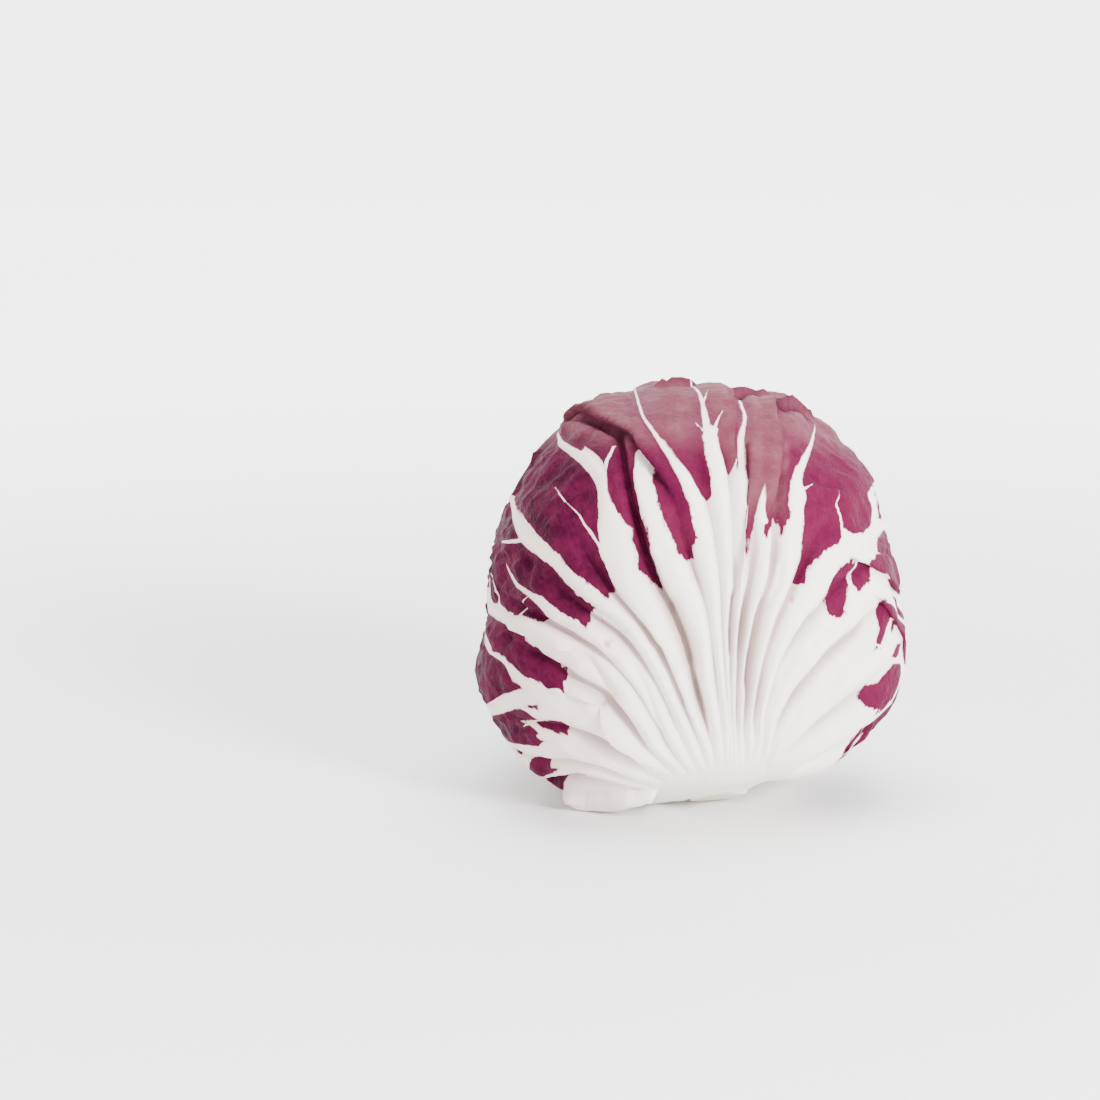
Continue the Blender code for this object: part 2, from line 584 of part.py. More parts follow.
def build_heart(depth, material):
    """The tight inner head: a closed ball whose wrapped leaf edges step round its crown."""
    settled = depth.settle()
    ahead = unit(FRONT - STEM * np.dot(FRONT, STEM))
    right = np.cross(ahead, STEM)
    polar_angle = np.linspace(0.0, math.pi, HEART_RINGS + 1)[1:-1]
    turn = np.arange(HEART_TURNS) * 2.0 * math.pi / HEART_TURNS
    down, round_it = (g.ravel() for g in np.meshgrid(polar_angle, turn, indexing="ij"))
    aside = np.cos(round_it)[:, None] * ahead + np.sin(round_it)[:, None] * right
    directions = STEM * np.cos(down)[:, None] + aside * np.sin(down)[:, None]
    directions = np.concatenate((directions, [STEM, -STEM]))
    down = np.concatenate((down, [0.0, math.pi]))
    round_it = np.concatenate((round_it, [0.0, 0.0]))
    radius = depth.read(settled, directions) - HEART_GAP
    spiral = (round_it / (2.0 * math.pi) * HEART_STEPS + 1.4 * down) % 1.0
    radius -= HEART_STEP_DEPTH * spiral * smooth(down, 1.2, 2.4) * smooth(math.pi - down, 0.05, 0.35)
    over_stem = (STEM_TOP - STEM_GAP) / np.maximum(np.cos(down), 0.3)
    radius = np.where(down < 0.45, np.minimum(radius, over_stem), radius)
    faces = []
    for ring in range(HEART_RINGS - 2):
        for k in range(HEART_TURNS):
            a, b = ring * HEART_TURNS + k, ring * HEART_TURNS + (k + 1) % HEART_TURNS
            faces += [(a, b, a + HEART_TURNS), (b, b + HEART_TURNS, a + HEART_TURNS)]
    last = (HEART_RINGS - 2) * HEART_TURNS
    for k in range(HEART_TURNS):
        nxt = (k + 1) % HEART_TURNS
        faces += [(len(down) - 2, nxt, k), (len(down) - 1, last + k, last + nxt)]
    radius -= depth.fit(directions, radius, np.array(faces), LEAST_GAP)
    add_object("inner_head", in_place(directions, radius), faces, material)


def build_stem(material):
    """The cut stem: a short turned stub, slightly lobed where the leaves were joined to it."""
    lean = math.acos(np.clip(-STEM[2], -1.0, 1.0))
    lowest = STEM_RADIUS * (1.0 + STEM_RIPPLE) - STEM_CHAMFER
    end = (CENTRE_HEIGHT - lowest * math.sin(lean)) / math.cos(lean)
    ahead = unit(FRONT - STEM * np.dot(FRONT, STEM))
    right = np.cross(ahead, STEM)
    profile = ((end, STEM_RADIUS - STEM_CHAMFER), (end - STEM_CHAMFER, STEM_RADIUS),
               (0.5 * (end + STEM_TOP), STEM_RADIUS * STEM_TAPER), (STEM_TOP, STEM_RADIUS * STEM_TAPER**2))
    points = []
    for along, radius in profile:
        for k in range(STEM_SIDES):
            turn = 2.0 * math.pi * k / STEM_SIDES
            wide = radius * (1.0 + STEM_RIPPLE * math.sin(5.0 * turn))
            points.append(CENTRE + STEM * along + wide * (math.cos(turn) * ahead + math.sin(turn) * right))
    faces = [tuple(range(STEM_SIDES - 1, -1, -1))]
    for ring in range(len(profile) - 1):
        for k in range(STEM_SIDES):
            a, b = ring * STEM_SIDES + k, ring * STEM_SIDES + (k + 1) % STEM_SIDES
            faces.append((a, b, b + STEM_SIDES, a + STEM_SIDES))
    top = (len(profile) - 1) * STEM_SIDES
    faces.append(tuple(range(top, top + STEM_SIDES)))
    add_object("stem", points, faces, material)


def material(name, colour, roughness):
    made = bpy.data.materials.new(name)
    made.use_nodes = True
    shader = made.node_tree.nodes["Principled BSDF"]
    shader.inputs["Base Color"].default_value = (*colour, 1.0)
    shader.inputs["Roughness"].default_value = roughness
    shader.inputs["Metallic"].default_value = 0.0
    return made


def main():
    for item in list(bpy.data.objects):
        bpy.data.objects.remove(item)
    wine = material("leaf_wine", (0.22, 0.015, 0.06), 0.42)
    cream = material("stem_cream", (0.80, 0.76, 0.68), 0.6)
    pale = material("heart_wine", (0.30, 0.03, 0.10), 0.45)
    depth = Depth()
    leaves = (
        (front_leaf(), 17, True),
        (fan_leaf("leaf_back_right", 137.0, 1, 93.0, 92.0, 9, 11, 2.0 * MM), 15, True),
        (fan_leaf("leaf_left", -100.0, 2, 92.0, 90.0, 9, 12, 2.4 * MM), 15, True),
        (fan_leaf("leaf_right", 50.0, 3, 100.0, 82.0, 9, 13, 1.5 * MM), 13, False),
        (fan_leaf("leaf_back_left", -160.0, 4, 118.0, 84.0, 9, 14, 1.5 * MM), 13, False),
    )
    for leaf, rows, fine in leaves:
        build_leaf(leaf, depth, rows, fine, wine)
    build_heart(depth, pale)
    build_stem(cream)


main()
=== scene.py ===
"""The looks of the radicchio head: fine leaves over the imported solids, materials, and a small studio."""

import math

import bpy
import numpy as np
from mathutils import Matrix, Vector
from mathutils.kdtree import KDTree


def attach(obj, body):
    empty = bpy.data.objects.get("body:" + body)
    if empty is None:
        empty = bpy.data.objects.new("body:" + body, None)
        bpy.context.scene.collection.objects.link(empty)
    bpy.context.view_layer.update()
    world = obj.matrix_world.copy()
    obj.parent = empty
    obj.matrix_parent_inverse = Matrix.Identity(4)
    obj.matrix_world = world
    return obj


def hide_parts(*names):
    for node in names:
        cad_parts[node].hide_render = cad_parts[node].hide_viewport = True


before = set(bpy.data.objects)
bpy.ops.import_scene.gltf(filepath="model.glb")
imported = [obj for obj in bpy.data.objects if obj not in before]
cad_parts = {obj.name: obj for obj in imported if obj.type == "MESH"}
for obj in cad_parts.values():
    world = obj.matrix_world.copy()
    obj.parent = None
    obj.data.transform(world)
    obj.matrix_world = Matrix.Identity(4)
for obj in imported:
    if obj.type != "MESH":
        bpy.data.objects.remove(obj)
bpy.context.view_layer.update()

MM = 0.001

# The head's form, as in the solids.
HALF_WIDTH = 65.2 * MM
HALF_DEPTH = 63.8 * MM
TOP_RISE = 64.3 * MM
UNDERSIDE_DROP = 63.2 * MM
CENTRE_HEIGHT = 61.5 * MM
ARC_RADIUS = 64.0 * MM
LEAN_DEG = 22.0
STEM_ASIDE_DEG = 6.5
SIGHT_DEG = 12.0
TOP_POWER = 2.1
BOTTOM_POWER = 2.45
OUTLINE_POWER = 3.0
OUTLINE_EXTRA = -0.7 * MM
FLOOR_BITE = 1.0 * MM
FLOOR_SOFTNESS = 0.5 * MM
STEM_RADIUS = 8.6 * MM
STEM_TOP = 41.0 * MM
LAYER_GAP = 0.5 * MM
BLADE = 0.8 * MM
NET_POINTS = 6000
NET_NEAR = 26
DIP_REACH = 5.0 * MM
DIP_BLUR = 3.0 * MM
UP = np.array((0.0, 0.0, 1.0))


def unit(v):
    v = np.asarray(v, float)
    return v / np.linalg.norm(v, axis=-1, keepdims=True)


def smooth(x, low, high):
    t = np.clip((x - low) / (high - low), 0.0, 1.0)
    return t * t * (3.0 - 2.0 * t)


def blend(low, high, share):
    return low + (high - low) * share


def mm(*rows):
    return np.array(rows, float) * MM


def stem_direction():
    lean, aside = math.radians(LEAN_DEG), math.radians(STEM_ASIDE_DEG)
    return unit((math.tan(aside), -math.sin(lean), -math.cos(lean)))


STEM = stem_direction()
FRONT = np.array((0.0, -math.cos(math.radians(SIGHT_DEG)), math.sin(math.radians(SIGHT_DEG))))
RIGHT = np.array((1.0, 0.0, 0.0))
SIGHT_UP = unit(np.cross(FRONT, np.cross(UP, FRONT)))
AHEAD = unit(FRONT - STEM * np.dot(FRONT, STEM))
ASIDE = np.cross(AHEAD, STEM)
CENTRE = np.array((0.0, 0.0, CENTRE_HEIGHT))

# The outline seen from the front: angle from +X towards the top, radius in millimetres.
FRONT_OUTLINE = (
    (-4, 64.2), (0, 64), (17, 61.5), (31, 64.7), (42, 63.9), (55, 65.4), (65, 65.1), (80, 64.1), (90, 64),
    (104, 64.2), (116, 65.4), (126, 66.2), (132, 64.8), (140, 63.5), (152, 62.9), (163, 63.5), (176, 63.3),
    (187, 64.2), (192, 67), (201, 71), (210, 73), (218, 74.4), (229, 75.7), (237, 74.5), (244, 72.9),
    (251, 70.6), (259, 66.5), (270, 63), (285, 61.8), (291, 61.8), (297, 64.5), (306, 67.6), (316, 69),
    (325, 71), (330, 72), (336, 70), (341, 69), (347, 67.2), (356, 64.4))
SWELLINGS = (
    (unit((-0.35, -0.55, -0.75)), -0.060, 14.0),
    (unit((0.0, 0.10, -1.0)), 0.045, 20.0),
    (STEM, -0.030, 11.0),
)


def rounded(directions):
    x, y, z = np.abs(directions).T
    power = blend(TOP_POWER, BOTTOM_POWER, smooth(-directions[:, 2], -0.15, 0.45))
    half_height = np.where(directions[:, 2] > 0, TOP_RISE, UNDERSIDE_DROP)
    total = (x / HALF_WIDTH) ** power + (y / HALF_DEPTH) ** power + (z / half_height) ** power
    return total ** (-1.0 / power)


def envelope(directions):
    """Distance from the head's centre to its outside, along unit directions."""
    radius = rounded(directions)
    across, up = directions[:, 0], directions @ SIGHT_UP
    turn = np.arctan2(up, across)
    rim = rounded(np.cos(turn)[:, None] * RIGHT + np.sin(turn)[:, None] * SIGHT_UP)
    angles, radii = np.array(FRONT_OUTLINE).T
    drawn = np.interp(np.degrees(turn) % 360.0, angles, radii) * MM + OUTLINE_EXTRA
    radius = radius * (1.0 + (drawn / rim - 1.0) * np.hypot(across, up) ** OUTLINE_POWER)
    for towards, share, spread in SWELLINGS:
        away = np.degrees(np.arccos(np.clip(directions @ towards, -1.0, 1.0)))
        radius = radius * (1.0 + share * np.exp(-0.5 * (away / spread) ** 2))
    floor = (CENTRE_HEIGHT + FLOOR_BITE) / np.maximum(-directions[:, 2], 0.05)
    soft = FLOOR_SOFTNESS
    return -soft * np.logaddexp(-radius / soft, -floor / soft)


class Chart:
    """The round head unrolled about one direction: (across, up) arc lengths to directions."""

    def __init__(self, middle, up):
        self.middle = unit(middle)
        self.up = unit(up - self.middle * np.dot(up, self.middle))
        self.right = np.cross(self.up, self.middle)

    def flat(self, directions):
        angle = np.arccos(np.clip(directions @ self.middle, -1.0, 1.0))
        aside = np.stack((directions @ self.right, directions @ self.up), 1)
        heading = aside / np.maximum(np.linalg.norm(aside, axis=1), 1e-9)[:, None]
        return heading * (angle * ARC_RADIUS)[:, None]

    def directions(self, flat):
        reach = np.maximum(np.hypot(flat[:, 0], flat[:, 1]), 1e-9)[:, None]
        angle = reach / ARC_RADIUS
        aside = (flat[:, :1] * self.right + flat[:, 1:] * self.up) / reach
        return np.cos(angle) * self.middle + np.sin(angle) * aside


RIM_SHARE = 0.94
RIM_ARC = 1.4 * ARC_RADIUS


def from_drawing(chart, drawn):
    """Chart places of points drawn on the front elevation, (across, up) from the head's centre."""
    drawn = np.asarray(drawn, float)
    reach = np.maximum(np.hypot(drawn[:, 0], drawn[:, 1]), 1e-9)[:, None]
    rim = envelope(chart.directions(drawn / reach * RIM_ARC))[:, None]
    share = reach / rim
    beyond = (share - RIM_SHARE) / math.sqrt(1.0 - RIM_SHARE**2)
    angle = np.arcsin(np.minimum(share, RIM_SHARE)) + np.maximum(beyond, 0.0)
    return drawn / reach * angle * ARC_RADIUS


class Depth:
    """How far out the next blade may lie, kept on a net of directions all round the head."""

    def __init__(self):
        turn = math.pi * (3.0 - math.sqrt(5.0))
        i = np.arange(NET_POINTS)
        z = 1.0 - (2.0 * i + 1.0) / NET_POINTS
        ring = np.sqrt(1.0 - z * z)
        self.points = np.stack((ring * np.cos(i * turn), ring * np.sin(i * turn), z), 1)
        self.outline = envelope(self.points)
        self.limit = self.outline.copy()
        self.tree = KDTree(NET_POINTS)
        for k, p in enumerate(self.points):
            self.tree.insert(p, k)
        self.tree.balance()
        self.near, self.away = self._nearest(self.points, NET_NEAR)

    def _nearest(self, directions, count):
        index = np.empty((len(directions), count), int)
        away = np.empty((len(directions), count))
        for row, d in enumerate(directions):
            for col, (_, k, distance) in enumerate(self.tree.find_n(d, count)):
                index[row, col] = k
                away[row, col] = distance * ARC_RADIUS
        return index, away

    def settle(self):
        """The limit let down near every edge that lies over it, and smoothed."""
        close = np.where(self.away <= DIP_REACH, self.limit[self.near], np.inf)
        low = close.min(1)
        weight = np.exp(-0.5 * (self.away / DIP_BLUR) ** 2)
        return (low[self.near] * weight).sum(1) / weight.sum(1)

    def read(self, values, directions):
        index, away = self._nearest(directions, 8)
        weight = np.exp(-0.5 * (away / (0.7 * DIP_BLUR)) ** 2)
        return (values[index] * weight).sum(1) / weight.sum(1)

    def cover(self, points):
        offset = points - CENTRE
        radius = np.linalg.norm(offset, axis=1)
        for d, r in zip(offset / radius[:, None], radius):
            _, k, _ = self.tree.find(d)
            self.limit[k] = min(self.limit[k], r)


def waves(x, seed, lengths, sizes):
    rng = np.random.default_rng(seed)
    total = np.zeros_like(x)
    for length, size in zip(lengths, sizes):
        total += size * np.sin(2.0 * math.pi * (x / length + rng.random()))
    return total


LATTICE = 128
LATTICE_FROM = 40.0


def lattice_noise(flat, length, seed):
    """Smooth random relief over a chart, -1 to 1, with that spacing between its bumps."""
    rng = np.random.default_rng(seed)
    table = rng.uniform(-1.0, 1.0, (LATTICE, LATTICE))
    turn = rng.uniform(0.0, math.pi)
    x = (flat[:, 0] * math.cos(turn) + flat[:, 1] * math.sin(turn)) / length + LATTICE_FROM
    y = (flat[:, 1] * math.cos(turn) - flat[:, 0] * math.sin(turn)) / length + LATTICE_FROM
    i, j = np.floor(x).astype(int), np.floor(y).astype(int)
    fx, fy = x - i, y - j
    fx, fy = fx * fx * (3.0 - 2.0 * fx), fy * fy * (3.0 - 2.0 * fy)
    a, b = table[i % LATTICE, j % LATTICE], table[(i + 1) % LATTICE, j % LATTICE]
    c, d = table[i % LATTICE, (j + 1) % LATTICE], table[(i + 1) % LATTICE, (j + 1) % LATTICE]
    return blend(blend(a, b, fx), blend(c, d, fx), fy)


# The front leaf, in millimetres on the front elevation: ribs as across, up and half width, from the
# lower left over the top to the lower right. A half width below nothing ends the white.
FRONT_RIBS = (
    mm((-9, -65.5, -1), (-24.8, -68.4, -1), (-38.7, -67.4, -1), (-51.6, -61.5, -1), (-60.3, -54.3, -1)),
    mm((-12.7, -60.4, 3), (-21.8, -60.3, 4.5), (-30.9, -60.6, 5), (-35.5, -60.2, 3.5), (-37, -60, -1),
       (-44, -58, -1)),
    mm((-15.8, -58.5, 3), (-30, -54.2, 2.6), (-36.5, -53.9, 1.2), (-41.6, -55.4, 0.7), (-46.6, -57, 0.6),
       (-51, -59, 0.3)),
    mm((-5.5, -58.2, 3), (-19.4, -54.3, 3.5), (-28.5, -51.3, 3.5), (-42.4, -47.6, 2.2), (-56, -47, 1.2),
       (-62, -46, 0.4)),
    mm((-3.6, -56, 3), (-15.8, -49, 4), (-28.5, -41.5, 5), (-35.5, -37, 4), (-44.5, -32.5, 3),
       (-51.8, -26.7, 1.3), (-57, -20.3, 0.9), (-61.5, -17.9, 0.7), (-64, -13, 0.5)),
    mm((-7.6, -48.5, 3), (-17.9, -37.9, 4), (-26.4, -29.4, 4.2), (-33.3, -22.4, 3.8), (-40.6, -16.4, 3.2),
       (-48.5, -10.9, 2.4), (-55.1, -8.2, 1.8), (-60.9, -5.2, 1.1), (-64, 1.5, 0.7)),
    mm((-6.7, -43.9, 3), (-17.3, -31.2, 3.5), (-27.9, -19.7, 3.5), (-35.5, -12.1, 2.4), (-41.8, -5.5, 1.4),
       (-49.4, 0.3, 0.8), (-52.4, 2.4, 0.5), (-55.4, 7, 0.35), (-57, 10, -0.6)),
    mm((-3.6, -37.9, 3), (-11.6, -25.8, 3), (-20.3, -12.7, 3), (-28.5, -3.3, 3), (-38.8, 7, 1.9),
       (-49.7, 15.2, 1.4), (-54.5, 25.1, 1.1), (-56, 28.8, 0.9), (-60, 33, 0.5)),
    mm((2.4, -43.9, 3), (-4.8, -30, 3.5), (-12.1, -18.2, 4), (-18.5, -7.3, 4.5), (-22.1, 3.6, 4.5),
       (-24.8, 13.6, 4), (-26.7, 23.3, 1.9), (-27.3, 30.3, 1.5), (-30, 34.8, 1.8), (-35.1, 40, 1.8),
       (-40, 43.6, 1.4), (-42.1, 48.8, 0.4), (-43, 53, -0.6)),
    mm((2.4, -27.3, 3), (1.0, -15.2, 3.5), (-1.6, -4.5, 4), (-6.7, 5.5, 4), (-12.1, 14.5, 3),
       (-14.8, 25.5, 2.4), (-17, 34.8, 1.8), (-17.9, 41.8, 0.8), (-18.5, 46, -0.8)),
    mm((5.2, -15.2, 2.5), (3.4, 3, 3), (0.5, 18.2, 2.5), (-2.1, 25.8, 1.3), (-8.8, 38.2, 0.8),
       (-16, 51.2, 0.55), (-17.9, 61.2, 0.4)),
    mm((7.6, -33.3, 3.5), (7.6, -15.2, 3.5), (7.6, 3, 3.5), (7.1, 18.2, 4), (5.8, 30.6, 2.6),
       (4.5, 37, 1.9), (2.4, 47, 1.4), (1.8, 55.1, 0.7), (-0.6, 65, 0.35)),
    mm((8.9, -39.4, 3), (10, -18.2, 3), (11.2, 0, 2.0), (12.1, 15.2, 1.2), (11.9, 33.3, 1.0),
       (12.4, 43.6, 0.8), (14.5, 52.1, 0.6), (12.4, 60, 0.3)),
    mm((10.9, -39.4, 3), (13, -21.2, 3.5), (15.5, -6, 4), (17, 6, 4.5), (17.6, 15.2, 3.2),
       (16.6, 23.6, 1.2), (18.5, 30.3, 0.2), (18.8, 33, -1), (20, 60, -1)),
    mm((13.6, -37.9, 3), (17.6, -22.7, 3), (21.2, -7.6, 3), (23, 3, 3), (25.5, 21.2, 2.3),
       (28.5, 33.9, 1.7), (33.9, 43, 0.8), (37, 50, 0.25), (38, 54, -0.5)),
    mm((16.7, -34.8, 3), (23, -19.7, 3.5), (28.2, -6, 4), (32.4, 3, 4), (37.3, 9, 3.5), (46.4, 15.2, 3),
       (54.2, 18.5, 2.4), (59, 20, 1.5)),
    mm((19.7, -36.4, 4), (29.7, -22.7, 5), (37.3, -12.1, 5), (43.6, -4.2, 4.5), (48.5, 0.9, 3.3),
       (51, 2.6, 3.0), (51.6, 3.0, -1), (60.9, -0.6, -1)),
    mm((22.1, -41.8, 4.5), (33.3, -32.4, 5), (45.1, -23.3, 5), (52.4, -17.3, 3.8), (53.5, -16.2, 3.4),
       (54, -15.7, -1), (60.9, -9.1, -1)),
    mm((24.2, -49.5, 4.5), (38.2, -43.5, 5), (49.7, -37.4, 4), (53, -35, 3.0), (53.6, -34.4, -1),
       (61.5, -24.8, -1)),
    mm((25.1, -54.6, 3.5), (37.3, -52.4, 4), (47.9, -47.6, 4), (57, -42, 3)),
)
# Where the purple between two ribs comes to a point, as across and up, one for each gap.
FRONT_TIPS = (
    (-30, -66), (-33, -57.5), (-42.7, -52), (-40, -44.5), (-41.8, -30.6), (-45.5, -7.9), (-33.9, -10.3),
    (-25.8, -1.5), (-12.1, 0.6), (-3, 10), (1.5, 27), (8.2, 35.5), (11.8, 5.2), (22.4, 16.4), (27.3, 2.7),
    (41.2, -7.3), (53.6, -17), (47.9, -35.5), (66, -45))
